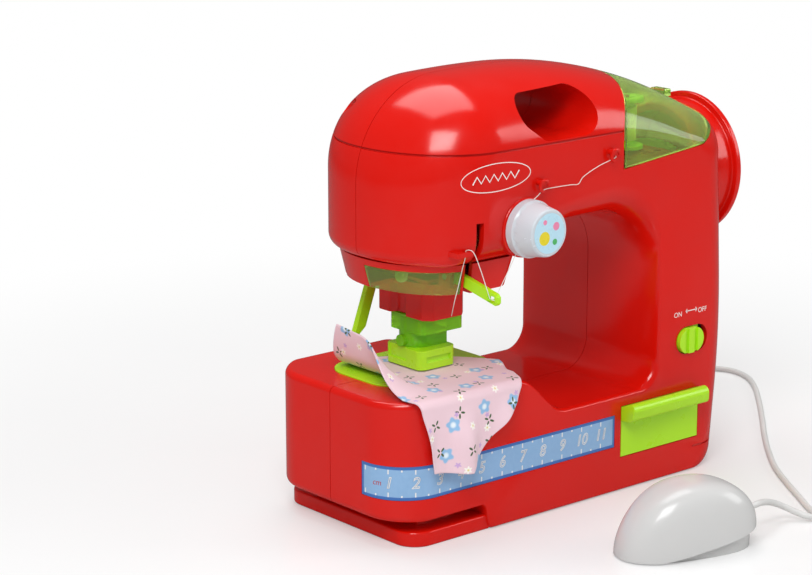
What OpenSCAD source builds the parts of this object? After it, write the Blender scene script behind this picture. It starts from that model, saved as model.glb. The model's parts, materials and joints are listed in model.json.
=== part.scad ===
// Battery toy sewing machine with a foot pedal, built round two moulded half shells.
// Frame: +X towards the handwheel, -Y the front with the ruler, +Z up,
// origin on the floor under the base.

/* [Half shells] */
// Half of the body's depth, from the seam to the front face
half_depth = 38; // [37:0.5:39]
// Wall of the half shells
shell_wall = 2; // [1.8:0.1:2.2]
// Distance of the base's left end from the origin
base_left = 87.6; // [85:0.2:90]
// Plan radius of the base's left corners
base_corner = 18; // [16:0.5:20]
// Height of the work bed
bed_z = 53.9; // [52:0.1:56]
// Height of the throat floor beside the column
throat_floor = 38.3; // [37:0.1:40]
// Height of the throat's ceiling
throat_top = 108.5; // [108:0.1:109.5]
// Distance of the column's inner wall from the origin
throat_right = 40.9; // [39:0.1:42]
// Furthest reach of the column to the right
column_right = 91.2; // [90:0.2:92]
// Distance of the head's left end from the origin
head_left = 75.1; // [73:0.1:77]
// Height of the head's underside
head_under = 99; // [98.4:0.1:99.6]
// Depth of the styling groove
groove_depth = 0.8; // [0.4:0.1:1]
// Height of the arm, from the throat's ceiling to the hood's ridge
arm_h = 54.9; // [53:0.1:57]
// Height of the raised edge over the left foot
foot_gap_z = 9.6; // [9:0.1:10.5]
// Height of the left foot's plate
foot_plate = 5.6; // [5:0.1:6.5]
// How far the left foot stands in from the base's left end
foot_inset = 7.3; // [6:0.1:9]

/* [Handle and spool lid] */
// Centre of the carrying hole along X
handle_x = -10; // [-12:0.5:-8]
// Distance between the end rounds of the carrying hole
handle_span = 22; // [20:0.5:24]
// Radius of the carrying hole's larger end
handle_r = 8.6; // [8:0.1:9]
// Where the lid's left edge crosses the ridge
lid_ridge_x = 38; // [36:0.5:40]
// Plan radius of the lid's left edge
lid_edge_r = 51; // [48:0.5:54]
// Wall of the transparent lid
lid_wall = 1.6; // [1.4:0.1:1.8]
// Gap round the lid
lid_gap = 0.4; // [0.3:0.05:0.5]
// Thickness of the deck
deck_t = 2; // [1.6:0.1:2.4]

/* [Spool] */
// Spool axis along X
spool_x = 44; // [42:0.5:46]
// Spool axis along Y
spool_y = -14; // [-15:0.5:-12]
// Radius of the spool's flanges
spool_r = 7.5; // [7:0.1:8]
// Thickness of a spool flange
spool_flange = 1.6; // [1.4:0.1:2]
// Radius of the spool's barrel
spool_barrel = 4; // [3.8:0.1:4.4]
// Radius of the spool's pin
spool_pin_r = 2; // [1.8:0.1:2.2]
// Diameter of the drawn thread winding
winding_d = 0.9; // [0.8:0.05:1]
// Turns in the drawn winding
winding_turns = 9; // [7:1:9]

/* [Handwheel and drive] */
// Height of the main shaft
shaft_z = 112.4; // [112:0.1:113]
// Radius of the main shaft
shaft_r = 1.6; // [1.5:0.05:1.7]
// Radial running clearance of shafts and pins
run_fit = 0.05; // [0.03:0.01:0.08]
// Radius of the collar's drum
collar_r = 26; // [25.4:0.1:26.4]
// Radius of the collar's flange
collar_flange_r = 28.5; // [28:0.1:29.5]
// Reach of the collar's flange to the right
collar_x = 96; // [95.6:0.1:96.6]
// Wall of the collar
collar_wall = 2.5; // [2:0.1:3]
// Radius of the handwheel knob
knob_r = 20; // [19:0.1:21]
// Thickness of the handwheel knob
knob_t = 4.2; // [4:0.1:5]
// Scallops round the handwheel knob
knob_lobes = 16; // [12:1:20]
// Module of the gear teeth
gear_module = 0.75; // [0.7:0.01:0.78]
// Teeth of the drive gear
gear_teeth = 40; // [36:4:40]
// Teeth of the motor pinion
pinion_teeth = 10; // [10:1:10]
// Width of the drive gear
gear_w = 4; // [3:0.2:5]
// Radius of the motor
motor_r = 10; // [9.5:0.1:10.4]
// Length of the motor
motor_len = 25; // [23:0.5:26]

/* [Needle and presser] */
// Needle axis along X
needle_x = -44.5; // [-45.5:0.1:-44]
// Radius of the needle bar
bar_r = 2.5; // [2.3:0.05:2.6]
// Radius of the needle
needle_r = 0.6; // [0.5:0.05:0.8]
// Stroke of the needle
needle_stroke = 10; // [8:0.5:10]
// Height of the skirt's lower edge
skirt_z = 88; // [87.6:0.1:88.6]
// Wall of the skirt
skirt_wall = 1.8; // [1.6:0.1:2]
// Size of the red needle block along X
block_w = 20; // [19:0.1:21]
// Size of the red needle block along Y
block_d = 30; // [29:0.1:31]
// Height of the needle block's lower face
block_z = 74.9; // [74.4:0.1:75.4]
// Size of the guard's flange along X
guard_w = 20.6; // [20:0.1:22]
// Size of the guard's flange along Y
guard_d = 19; // [18:0.1:20]
// Height of the guard's flange
guard_flange = 6.2; // [5.6:0.1:6.6]
// Wall of the guard
guard_wall = 1.4; // [1.2:0.1:1.6]
// Size of the presser foot along X
foot_w = 17.5; // [17:0.1:18.5]
// Size of the presser foot along Y
foot_d = 20.5; // [19.5:0.1:21.5]
// Height of the presser foot's sole above the bed
foot_lift = 1.9; // [1.8:0.1:2.4]
// Height of the presser foot
foot_h = 7.2; // [6.6:0.1:7.8]
// Lift of the presser foot
presser_travel = 5; // [4:0.5:5]
// Thickness of the needle plate above the bed
plate_proud = 0.5; // [0.3:0.1:0.6]

/* [Front controls] */
// Tension dial axis along X
dial_x = -28; // [-29:0.2:-27.4]
// Tension dial axis height
dial_z = 110.4; // [110:0.2:111.4]
// Radius of the dial's base ring
dial_r = 10.5; // [10:0.1:11]
// Radius of the dial's face
dial_face_r = 8.7; // [8.2:0.1:9.2]
// Length of the dial
dial_len = 11.5; // [10.5:0.1:12]
// Flutes round the dial
dial_flutes = 18; // [14:1:22]
// Take-up lever plane along X
lever_x = -49.2; // [-49.4:0.05:-48.8]
// Thickness of the take-up lever
lever_t = 2; // [1.8:0.1:2.2]
// Reach of the take-up lever in front of its pivot
lever_len = 26; // [24:0.5:27]
// Height of the take-up lever's bar
lever_h = 4.2; // [4:0.1:4.6]
// Power button axis along X
switch_x = 60.2; // [59:0.2:61]
// Power button height
switch_z = 53.4; // [52:0.2:55]
// Length of the power button's slot
switch_w = 17; // [16.4:0.1:17.6]
// Height of the power button's slot
switch_h = 10.8; // [10.2:0.1:11.4]
// Travel of the power button
switch_travel = 3; // [2.5:0.1:3.2]

/* [Drawer and ruler] */
// Left edge of the drawer opening
drawer_left = 22.5; // [21.5:0.1:23.5]
// Width of the drawer opening
drawer_w = 42.3; // [41:0.1:43]
// Lower edge of the drawer opening
drawer_low = 13.4; // [13:0.1:14]
// Height of the drawer opening
drawer_h = 20.3; // [19.6:0.1:20.8]
// Length of the drawer's tray
drawer_len = 50; // [46:0.5:52]
// Gap round the drawer
drawer_gap = 0.3; // [0.25:0.05:0.4]
// Reach of the drawer's bar in front of the body
drawer_bar = 6.5; // [6:0.1:7.5]
// Lower edge of the ruler
ruler_low = 18.1; // [17.6:0.1:18.6]
// Height of the ruler
ruler_h = 12.7; // [12:0.1:13]
// Right end of the ruler
ruler_right = 19.4; // [18:0.1:20]
// Depth of the ruler's recess
ruler_recess = 0.6; // [0.5:0.05:0.8]

/* [Battery box] */
// Radius of a battery cell
cell_r = 7.1; // [7:0.05:7.2]
// Length of a battery cell
cell_len = 50; // [49.5:0.1:50.5]
// Wall of the battery box
box_wall = 1.5; // [1.3:0.1:1.7]

/* [Foot pedal] */
// Pedal centre along X
pedal_x = -4; // [-6:0.5:-2]
// Pedal centre along Y
pedal_y = -97; // [-99:0.5:-96]
// Turn of the pedal about Z
pedal_turn = -16; // [-18:0.5:-14]
// Half length of the pedal
pedal_half_len = 27; // [26.6:0.1:27.4]
// Half width of the pedal
pedal_half_w = 14.5; // [14:0.1:15.5]
// Height of the pedal
pedal_h = 25.5; // [25:0.1:26.5]
// Wall of the pedal's cover
pedal_wall = 1.6; // [1.4:0.1:1.8]
// Diameter of the pedal's cord
cord_d = 2.4; // [2.2:0.1:2.6]

/* [Cloth] */
// Long side of the cloth
cloth_len = 68; // [66:0.5:70]
// Short side of the cloth
cloth_w = 50; // [48:0.5:52]
// Thickness of the cloth
cloth_t = 0.5; // [0.4:0.05:0.6]

/* [Hidden] */
$fn = 64;
eps = 0.01;
seat = 0.1; // clearance of a fixed piece from what holds it
red = "#d81a0c";
lime = "#b4e628";
glass_green = "#4cc21a";
pale = "#dadada";
steel = "#b8bcc2";

// Heights in the arm, which keep their shares of it
rise = arm_h / 54.9;
hood_top = throat_top + arm_h;
groove_z = throat_top + 30.4 * rise;
handle_z = throat_top + 40.3 * rise;
deck_z = throat_top + 17.5 * rise;
spool_h = 19 * rise;

// Battery box, whose right end stands beside the drawer and whose left end the base's step follows
box_spare = 7;
box_x = [17.5 - box_spare - cell_len, 17.5];
step_x = box_x[0] - 4.5;
far = half_depth + 22; // reach of a cut past the front

// Rounds of the body along the depth
front_edge = 2.5;
throat_roll = 10;
head_roll = 9;
side_roll = half_depth - 2;
hood_roll = half_depth - 1;
edge_drop = 1.2;

// One row for each corner of the body's outline, anticlockwise from the base's lower left.
// x, z, reach on the seam; x, z, reach on the front face; roll along x and z; points.
corners = [
    [-base_left, foot_gap_z, 3, -base_left + base_corner, foot_gap_z + edge_drop, 3, base_corner,
        front_edge, 4],
    [step_x - 2, foot_gap_z, 2, step_x - 2, foot_gap_z + edge_drop, 2, front_edge, front_edge, 3],
    [step_x, 0, 2, step_x + 0.5, edge_drop, 2, front_edge, front_edge, 3],
    [column_right - 5.2, 0, 7, column_right - 25, edge_drop, 7, side_roll, front_edge, 5],
    [column_right, 52, 25, column_right - 20.4, 52, 25, side_roll, side_roll, 4],
    [column_right - 3.7, throat_top + 28 * rise, 7, column_right - 25.2, throat_top + 18.5 * rise, 8,
        side_roll, side_roll, 7],
    [30, hood_top - 0.6, 40, 22, groove_z, 25, hood_roll, hood_roll, 5],
    [-22, hood_top, 10, -22, groove_z, 10, hood_roll, hood_roll, 3],
    [-head_left, hood_top - 1.9, 36, -head_left + 31, groove_z, 5, hood_roll, hood_roll, 8],
    [-head_left, head_under, 5, -head_left + 31, head_under + 10.5, 5, hood_roll, head_roll, 8],
    [-19, head_under, 5, -24, head_under + 15.5, 6, head_roll, head_roll, 3],
    [-7, throat_top, 6, -6, throat_top + 9.5, 8, head_roll, head_roll, 5],
    [throat_right, throat_top, 24, throat_right + 0.6, throat_top + 14, 27, throat_roll, throat_roll, 7],
    [throat_right, 70, 6, throat_right + 1.6, 70, 6, throat_roll, throat_roll, 4],
    [throat_right, throat_floor, 12, throat_right + 1.6, throat_floor - edge_drop, 8, throat_roll,
        front_edge, 5],
    [-10, throat_floor, 5, -10.4, throat_floor - edge_drop, 5, front_edge, front_edge, 3],
    [-26, bed_z, 6, -26.6, bed_z - edge_drop, 6, front_edge, front_edge, 3],
    [-base_left, bed_z, 2.5, -base_left + base_corner, bed_z - edge_drop, 2.5, base_corner, front_edge,
        4]];

// Handle hole rounds: x, z, radius
handle_rounds = [
    [handle_x + handle_span / 2, handle_z, handle_r],
    [handle_x - handle_span / 4, handle_z - 1.3, handle_r - 1.2],
    [handle_x - handle_span / 2, handle_z + 1.6, handle_r - 2.2]];
lining = 2;

// Screw posts, as x and z
posts = [[-79, 42], [-58, throat_top + 40.5 * rise], [13, throat_top + 21.5 * rise], [48, 68], [79, 26]];
post_r = 4;
screw_r = 1.45;
screw_head_r = 3;
screw_head_y = 12;
screw_len = 24;

// Lid and collar
lid_low = [for (p = [[10, 15.3], [24.7, 16.7], [64, 20.5], [86, 29.5], [110, 38.5]]) [p[0],
    throat_top + p[1] * rise]];
lid_tab = [4, 8, 2.4];
collar_fit = 0.15;
collar_in = 76;
collar_disc = 2.5;
collar_flange_t = 2.5;
knob_gap = 0.5;

// Drive train
gear_x = 73;
gear_r = gear_module * gear_teeth / 2;
pinion_r = gear_module * pinion_teeth / 2;
motor_z = shaft_z - gear_r - pinion_r;
motor_x = gear_x - 2.5 - motor_len;
crank_r = needle_stroke / 2;
crank_x = needle_x + bar_r + 4.6;
crank_t = 2;
crank_pin_r = 1;
bush_x = [-30, 55];
bush_w = 6;
bush_block = 9;

// Needle train
sole_z = bed_z + foot_lift;
needle_tip = bed_z - 3.5;
bar_low = needle_tip + 14;
bar_top = shaft_z + 3;
yoke_z = shaft_z - crank_r;
yoke_h = 2 * crank_pin_r + 3;
skirt_top = head_under;
skirt_floor = 1.6;
block_flange = 1.6;
block_fit = 0.4;
block_top = skirt_z + skirt_floor + seat + block_flange;
guard_low = sole_z + 3;
guard_body_w = 14;
guard_body_d = 13;
sole_t = 1.8;
hole_r = 2;
lever_pivot = [-half_depth + 16, 93.4];
lever_pin_r = 1.1;
lever_slot = lever_t + 1;
lever_slope = 10;
lifter_pivot = [-50, 91.8];
lifter_y = 18.9;
lifter_t = 2.4;
lifter_pin_r = 1.1;
plate_box = [-74, -20, -18, 22];
plate_r = 12;
plate_t = 1.3;

// Dial
boss_r = 11;
boss_front = half_depth + 0.6;
dial_gap = 0.35;
dial_back = boss_front + dial_gap;
stem_r = 2.5;
dial_ring = 3;

// Drawer
drawer_right = drawer_left + drawer_w;
panel_t = 2.5;
tray_wall = 1.4;
tray_h = 16;

// Battery box
cell_y = [-8.2, 8.2];
cell_z = 2 + cell_r + 0.6;
box_half = 17.5;
box_top = 19;
door_t = 1.8;

// Pedal
pedal_skirt = 0.17;
pedal_fit = 0.5;
pedal_pin_r = 1.2;
pedal_pivot = [-21, 3];
pedal_points = 32;

// Places of the cord along its free run, from the rear wall to the pedal
cord_exit = [60, 46.5, 14];
cord_route = [
    cord_exit, [60.2, 51, 13.4], [61.5, 57, 10], [65, 63, 5], [71, 68, 2], [80, 71, 1.2], [96, 73, 1.2],
    [116, 72.5, 1.2], [136, 69.5, 1.2], [155, 63, 1.2], [168, 54, 1.2], [174, 44, 1.2], [171.5, 32, 1.2],
    [163, 20, 1.2], [149, 5, 1.2], [131, -13, 1.2], [116, -27.5, 1.2], [101, -43, 1.2], [87, -59, 1.2],
    [76.5, -74, 1.2], [67.5, -88, 1.2], [61, -98, 1.2], [58.2, -103.4, 1.2], [56, -107.6, 1.3],
    [51.6, -107.6, 1.8],
    [48.6, -103.6, 3.2], [45.4, -100.6, 5.2], [40, -100.2, 7.8], [33.5, -102, 10.2], [28, -103.8, 11.6],
    [25, -104.6, 11.9], [22, -104.9, 12], [19, -104.4, 12]];
cord_sides = 8;

// Cloth: two corners of its long side on the flat, before it drapes
cloth_right = [-17, -20];
cloth_front = [-57, -75];
cloth_z = bed_z + plate_proud + 0.35 + cloth_t / 2;
cloth_bend = 3;
cloth_edge = half_depth - 0.4;
flap_x = -63;
flap_bend = 9;
flap_angle = 66;
cloth_cells = [22, 16];

// Helpers

module box(x0, x1, y0, y1, z0, z1) {
    translate([x0, y0, z0])
        cube([x1 - x0, y1 - y0, z1 - z0]);
}

module rod_x(r, x0, x1, y, z) {
    translate([x0, y, z])
        rotate([0, 90, 0])
            cylinder(r = r, h = x1 - x0);
}

module rod_y(r, y0, y1, x, z) {
    translate([x, y0, z])
        rotate([-90, 0, 0])
            cylinder(r = r, h = y1 - y0);
}

module rod_z(r, z0, z1, x, y) {
    translate([x, y, z0])
        cylinder(r = r, h = z1 - z0);
}

// Extrudes an outline drawn as x and z along the depth
module plate_y(y0, y1) {
    translate([0, y1, 0])
        rotate([90, 0, 0])
            linear_extrude(y1 - y0)
                children();
}

// Extrudes an outline drawn as y and z along X
module plate_x(x0, x1) {
    translate([x0, 0, 0])
        rotate([90, 0, 90])
            linear_extrude(x1 - x0)
                children();
}

module round_rect(x0, x1, y0, y1, r) {
    hull()
        for (x = [x0 + r, x1 - r], y = [y0 + r, y1 - r])
            translate([x, y])
                circle(r, $fn = 32);
}

// Body loft

function unit(v) = v / norm(v);
function turn_tan(e, f) = (e[0] * f[1] - e[1] * f[0]) / (1 + e * f);
function side_of(v) = [-v[1], v[0]];

// Moves an outline's corners in by d, as x, z and reach
function inset_corners(rows, d) = [
    for (i = [0:len(rows) - 1])
        let (n = len(rows),
            p = [rows[i][0], rows[i][1]],
            before = rows[(i + n - 1) % n],
            after = rows[(i + 1) % n],
            e = unit(p - [before[0], before[1]]),
            f = unit([after[0], after[1]] - p),
            a = side_of(e),
            b = side_of(f),
            q = p + (a + b) * d / (1 + a * b))
        [q[0], q[1], max(rows[i][2] - d * turn_tan(e, f), 0.3)]];

// Points round one corner, a conic that is a true arc
function corner_arc(before, row, after, count) =
    let (p = [row[0], row[1]],
        u = unit([before[0], before[1]] - p),
        v = unit([after[0], after[1]] - p),
        w = sqrt(max(0, (1 - u * v) / 2)))
    [for (i = [0:count - 1])
        let (t = i / (count - 1),
            a = (1 - t) * (1 - t),
            b = 2 * t * (1 - t) * w,
            c = t * t)
        (a * (p + u * row[2]) + b * p + c * (p + v * row[2])) / (a + b + c)];

function outline(rows) = [
    for (i = [0:len(rows) - 1])
        let (n = len(rows))
        each corner_arc(rows[(i + n - 1) % n], rows[i], rows[(i + 1) % n], corners[i][8])];

function roll(y, depth, r) =
    let (s = (abs(y) - depth + r) / r)
    s <= 0 ? 0 : 1 - sqrt(max(0, 1 - s * s));

corner_of = [for (i = [0:len(corners) - 1]) each [for (k = [1:corners[i][8]]) i]];

// One ring of the body at depth y, moved in by d
function body_ring(seam, face, y, d) = [
    for (i = [0:len(seam) - 1])
        let (c = corners[corner_of[i]],
            u = roll(y, half_depth - d, max(c[6] - d, 0.8)),
            v = roll(y, half_depth - d, max(c[7] - d, 0.8)))
        [seam[i][0] + (face[i][0] - seam[i][0]) * u, y, seam[i][1] + (face[i][1] - seam[i][1]) * v]];

// The body as one closed solid through rings at the given depths
module body_solid(d, depths) {
    seam = outline(inset_corners([for (c = corners) [c[0], c[1], c[2]]], d));
    face = outline(inset_corners([for (c = corners) [c[3], c[4], c[5]]], d));
    n = len(seam);
    last = len(depths) - 1;
    points = [for (y = depths) each body_ring(seam, face, y, d)];
    sides = [for (k = [0:last - 1], i = [0:n - 1])
        let (a = k * n + i,
            b = k * n + (i + 1) % n)
        each [[a, a + n, b], [b, a + n, b + n]]];
    near = [for (i = [0:n / 2 - 2])
        each [[i, i + 1, n - 2 - i], [i, n - 2 - i, n - 1 - i]]];
    far = [for (f = near) [for (k = [2:-1:0]) f[k] + last * n]];
    polyhedron(points, concat(near, sides, far), convexity = 8);
}

function half_depths(d, steps) = [
    for (k = [0:steps]) -(half_depth - d) * sin(90 * k / steps)];
function full_depths(d, steps) = [
    for (k = [-steps:steps]) -(half_depth - d) * sin(90 * k / steps)];
outer_steps = 9;
inner_steps = 6;

module body_half() {
    body_solid(0, half_depths(0, outer_steps));
}

// The hollow, carried past the seam so that it opens there
module body_hollow() {
    body_solid(shell_wall, concat([1], half_depths(shell_wall, inner_steps)));
}

module handle_outline(grow) {
    hull()
        for (h = handle_rounds)
            translate([h[0], h[1]])
                circle(h[2] + grow, $fn = 32);
}

module lid_region(gap) {
    difference() {
        plate_y(-far, far)
            polygon(concat([for (p = lid_low) [p[0], p[1] + gap]], [[110, 200], [10, 200]]));
        translate([lid_ridge_x - lid_edge_r, 0, 100])
            cylinder(r = lid_edge_r + gap, h = 100, $fn = 128);
    }
}

// Band that follows the base's left end, its corner and its front, seen from above
module ruler_band(out, inside, left) {
    cx = -base_left + base_corner;
    cy = -half_depth + base_corner;
    intersection() {
        difference() {
            translate([cx, cy])
                circle(base_corner + out);
            translate([cx, cy])
                circle(base_corner - inside);
        }
        translate([cx - 2 * base_corner, cy - 2 * base_corner])
            square(2 * base_corner);
    }
    translate([cx, -half_depth - out])
        square([ruler_right - cx, out + inside]);
    translate([-base_left - out, cy])
        square([out + inside, left]);
}

module foot_half() {
    x0 = -base_left + foot_inset;
    linear_extrude(foot_plate)
        hull() {
            translate([x0 + 9, -half_depth + 10])
                circle(9);
            translate([step_x + 1, -half_depth + 1])
                square([1, half_depth - 1]);
            translate([x0, -10])
                square([1, 10]);
        }
    box(x0 + 9, step_x + 1, -half_depth + 9, 0, foot_plate - 1, foot_gap_z + 1);
}

// Small red hooks and the dial's boss, moulded on the front
module front_bosses() {
    rod_y(boss_r, -boss_front, -half_depth + 14, dial_x, dial_z);
    for (g = [[15, 131.2], [-20.5, 124.6]]) {
        rod_y(1, -half_depth - 2.4, -half_depth + 1, g[0] - 1.6, g[1] + 1.4);
        translate([g[0], -half_depth - 1.8, g[1]])
            rotate([90, 0, 0])
                rotate_extrude(angle = 250)
                    translate([2.1, 0])
                        circle(0.7);
    }
    difference() {
        box(-60, -53, -half_depth + 0.4, -half_depth + 9, 103.6, 105.4);
        rod_z(1, 100, 110, -54.6, -half_depth + 2.2);
    }
}

// Bands of the grooves round the hood and round the column's foot
module groove_tool() {
    box(-120, lid_ridge_x, -far, 1, groove_z, groove_z + 0.9);
    box(column_right - 26, column_right + 20, -far, 1, foot_gap_z - 0.1, foot_gap_z + 0.6);
}

module post_cores() {
    for (p = posts)
        rod_y(post_r, -far, 1, p[0], p[1]);
}

module half_shell() {
    difference() {
        union() {
            difference() {
                body_half();
                difference() {
                    body_hollow();
                    post_cores();
                    plate_y(-far, 2)
                        handle_outline(lining);
                }
                difference() {
                    groove_tool();
                    body_solid(groove_depth, concat([2], half_depths(groove_depth, outer_steps)));
                }
            }
            foot_half();
        }
        children();
    }
}

// What both half shells leave open
module shell_cuts_common() {
    lid_region(0);
    plate_y(-far, 2)
        handle_outline(0);
    rod_x(collar_r + collar_fit, 60, 110, 0, shaft_z);
    box(needle_x - block_w / 2 - 2.4, needle_x + block_w / 2 + 2.4, -block_d / 2 - 2.4, 2,
        head_under - 1, head_under + 4);
    box(box_x[0] + box_wall, box_x[1] - box_wall, -box_half + box_wall, 2, -1, shell_wall + 1);
    rod_z(hole_r + 3, bed_z - 4, bed_z + 4, needle_x, 0);
}

module plate_recess() {
    translate([0, 0, bed_z + plate_proud - plate_t])
        linear_extrude(10)
            round_rect(plate_box[0] - seat, plate_box[1] + seat, plate_box[2] - seat,
                plate_box[3] + seat, plate_r + seat);
}

module front_shell() {
    color(red)
        difference() {
            union() {
                half_shell()
                    shell_cuts_common();
                front_bosses();
            }
            plate_recess();
            rod_y(stem_r + run_fit, -far, -half_depth + 18, dial_x, dial_z);
            rod_y(boss_r - 2, -half_depth + 3, -half_depth + 23, dial_x, dial_z);
            box(lever_x - lever_slot / 2, lever_x + lever_slot / 2, -far, -half_depth + 14,
                head_under - 5, head_under + 15.8);
            box(drawer_left, drawer_right, -far, -half_depth + 8, drawer_low, drawer_low + drawer_h);
            plate_y(-far, -half_depth + 8)
                round_rect(switch_x - switch_w / 2, switch_x + switch_w / 2,
                    switch_z - switch_h / 2, switch_z + switch_h / 2, switch_h / 2 - eps);
            translate([0, 0, ruler_low])
                linear_extrude(ruler_h)
                    ruler_band(2, ruler_recess, 2.3);
            for (p = posts)
                rod_y(screw_r + run_fit, -screw_len + screw_head_y - 1, 2, p[0], p[1]);
        }
}

module rear_shell() {
    color(red)
        difference() {
            mirror([0, 1, 0])
                half_shell()
                    shell_cuts_common();
            plate_recess();
            for (p = posts) {
                rod_y(screw_r + run_fit, -2, far, p[0], p[1]);
                rod_y(screw_head_r + 0.3, screw_head_y, far, p[0], p[1]);
            }
            rod_y(grommet_r + seat, half_depth - 8, far, cord_exit[0], cord_exit[2]);
        }
}

module case_screws() {
    color(steel)
        for (p = posts) {
            rod_y(screw_head_r, screw_head_y + eps, screw_head_y + 2, p[0], p[1]);
            rod_y(screw_r, screw_head_y + 1 - screw_len, screw_head_y + 1, p[0], p[1]);
        }
}

// Spool lid, deck and spool

module spool_lid() {
    color(glass_green, 0.6)
        difference() {
            union() {
                intersection() {
                    difference() {
                        body_solid(0, full_depths(0, outer_steps));
                        body_solid(lid_wall, full_depths(lid_wall, inner_steps));
                    }
                    lid_region(lid_gap);
                }
                translate([0, 0, throat_top + 31.9 * rise])
                    box(77, 77 + lid_tab[0], -lid_tab[1] / 2, lid_tab[1] / 2, 0, 1.2 + lid_tab[2]);
            }
            rod_x(collar_r + collar_fit + lid_gap, 60, 110, 0, shaft_z);
            rod_x(collar_flange_r + lid_gap, collar_x - collar_flange_t - lid_gap, 110, 0, shaft_z);
        }
}

module spool_deck() {
    color(red) {
        difference() {
            box(24, 58, -half_depth + shell_wall + seat, half_depth - shell_wall - seat,
                deck_z - deck_t, deck_z);
            for (y = [-22, 22])
                rod_z(2, 100, 200, 54, y);
        }
        rod_z(spool_pin_r, deck_z - eps, deck_z + spool_h + 1.5, spool_x, spool_y);
        rod_z(spool_pin_r + 2, deck_z - eps, deck_z + 0.8, spool_x, spool_y);
    }
}

module thread_spool() {
    z0 = deck_z + 0.9;
    color(lime)
        translate([spool_x, spool_y, z0])
            rotate_extrude()
                polygon([
                    [spool_pin_r + run_fit, 0], [spool_r, 0], [spool_r, spool_flange],
                    [spool_barrel, spool_flange + 0.6],
                    [spool_barrel, spool_h - spool_flange - 0.6], [spool_r, spool_h - spool_flange],
                    [spool_r, spool_h - 0.4], [spool_r - 0.4, spool_h],
                    [spool_pin_r + run_fit, spool_h]]);
}

// The winding, one unbroken thread round the barrel
winding_r = spool_barrel + winding_d / 2 + 0.3;
winding_rings = 18;
winding_pitch = (spool_h - 2 * spool_flange - 3.4) / winding_turns;
winding_gap = winding_pitch - winding_d;
echo(winding_gap = winding_gap);

// Closed tube through points, with the given radius and count of sides
function tube_points(path, r, sides) = [
    for (i = [0:len(path) - 1])
        let (a = path[max(i - 1, 0)],
            b = path[min(i + 1, len(path) - 1)],
            t = unit(b - a),
            flat = unit([-t[1], t[0], 0.0001]),
            up = cross(t, flat))
        each [for (k = [0:sides - 1])
            path[i] + r * (cos(360 * k / sides) * flat + sin(360 * k / sides) * unit(up))]];

function tube_faces(rings, sides) = concat(
    [for (i = [0:rings - 2], k = [0:sides - 1])
        let (a = i * sides + k,
            b = i * sides + (k + 1) % sides)
        each [[a, b, a + sides], [b, b + sides, a + sides]]],
    [for (k = [1:sides - 2]) [0, k + 1, k]],
    [for (k = [1:sides - 2]) [(rings - 1) * sides, (rings - 1) * sides + k,
        (rings - 1) * sides + k + 1]]);

module spool_thread() {
    z0 = deck_z + 0.9 + spool_flange + 1.3 + winding_d / 2;
    rings = winding_turns * winding_rings + 1;
    path = [for (i = [0:rings - 1])
        let (a = 360 * i / winding_rings)
        [spool_x + winding_r * cos(a), spool_y + winding_r * sin(a),
            z0 + winding_pitch * i / winding_rings]];
    color("white")
        polyhedron(tube_points(path, winding_d / 2, 6), tube_faces(rings, 6), convexity = 10);
}

// Handwheel and drive

module handwheel_collar() {
    color(red)
        difference() {
            union() {
                rod_x(collar_r, collar_in, collar_x - 1, 0, shaft_z);
                rod_x(collar_flange_r, collar_x - collar_flange_t, collar_x, 0, shaft_z);
            }
            rod_x(collar_r - collar_wall, collar_in - 1, collar_x - collar_flange_t - collar_disc, 0,
                shaft_z);
            rod_x(knob_r + 2.4, collar_x - 1.2, collar_x + 1, 0, shaft_z);
            rod_x(shaft_r + run_fit, 0, 120, 0, shaft_z);
        }
}

module handwheel_knob() {
    x0 = collar_x - 1.2 + knob_gap;
    color(lime)
        difference() {
            rod_x(knob_r, x0, collar_x + knob_t, 0, shaft_z);
            for (k = [0:knob_lobes - 1])
                rotate_about_shaft(360 * k / knob_lobes)
                    rod_x(2.2, 0, 200, 0, shaft_z + knob_r + 1.2);
            rod_x(6, collar_x + knob_t - 1, 200, 0, shaft_z);
            rod_x(shaft_r, 0, collar_x + knob_t - 2, 0, shaft_z);
        }
}

module rotate_about_shaft(a) {
    translate([0, 0, shaft_z])
        rotate([a, 0, 0])
            translate([0, 0, -shaft_z])
                children();
}

module main_shaft() {
    color(steel)
        rod_x(shaft_r, crank_x, collar_x + knob_t - 2, 0, shaft_z);
}

module shaft_bushes() {
    color("#c9cdd2")
        for (x = bush_x)
            difference() {
                union() {
                    box(x, x + bush_w, -bush_block / 2, bush_block / 2, shaft_z - 1.8, shaft_z + 6.2);
                    box(x, x + bush_w, -bush_block / 2, half_depth - shell_wall - seat, shaft_z + 6.1,
                        shaft_z + 11);
                }
                rod_x(shaft_r + run_fit, x - 1, x + bush_w + 1, 0, shaft_z);
            }
}

// A spur gear as seen along its axis, with a tooth pointing up
module spur(teeth, phase) {
    r = gear_module * teeth / 2;
    pitch = 360 / teeth;
    polygon([for (i = [0:teeth - 1])
        let (a = 90 + phase + i * pitch)
        each [
            (r - 1.15 * gear_module) * [cos(a - 0.32 * pitch), sin(a - 0.32 * pitch)],
            (r + 0.85 * gear_module) * [cos(a - 0.1 * pitch), sin(a - 0.1 * pitch)],
            (r + 0.85 * gear_module) * [cos(a + 0.1 * pitch), sin(a + 0.1 * pitch)],
            (r - 1.15 * gear_module) * [cos(a + 0.32 * pitch), sin(a + 0.32 * pitch)]]]);
}

module drive_gear() {
    color("white")
        translate([gear_x, 0, shaft_z])
            rotate([90, 0, 90])
                difference() {
                    linear_extrude(gear_w)
                        spur(gear_teeth, 0);
                    translate([0, 0, -1])
                        cylinder(r = shaft_r, h = gear_w + 2);
                }
}

module crank_disc() {
    color("white") {
        difference() {
            rod_x(crank_r + 3, crank_x, crank_x + crank_t, 0, shaft_z);
            rod_x(shaft_r, crank_x - 1, crank_x + crank_t + 1, 0, shaft_z);
        }
        rod_x(crank_pin_r, crank_x - 2.2, crank_x + eps, 0, yoke_z);
    }
}

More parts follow.
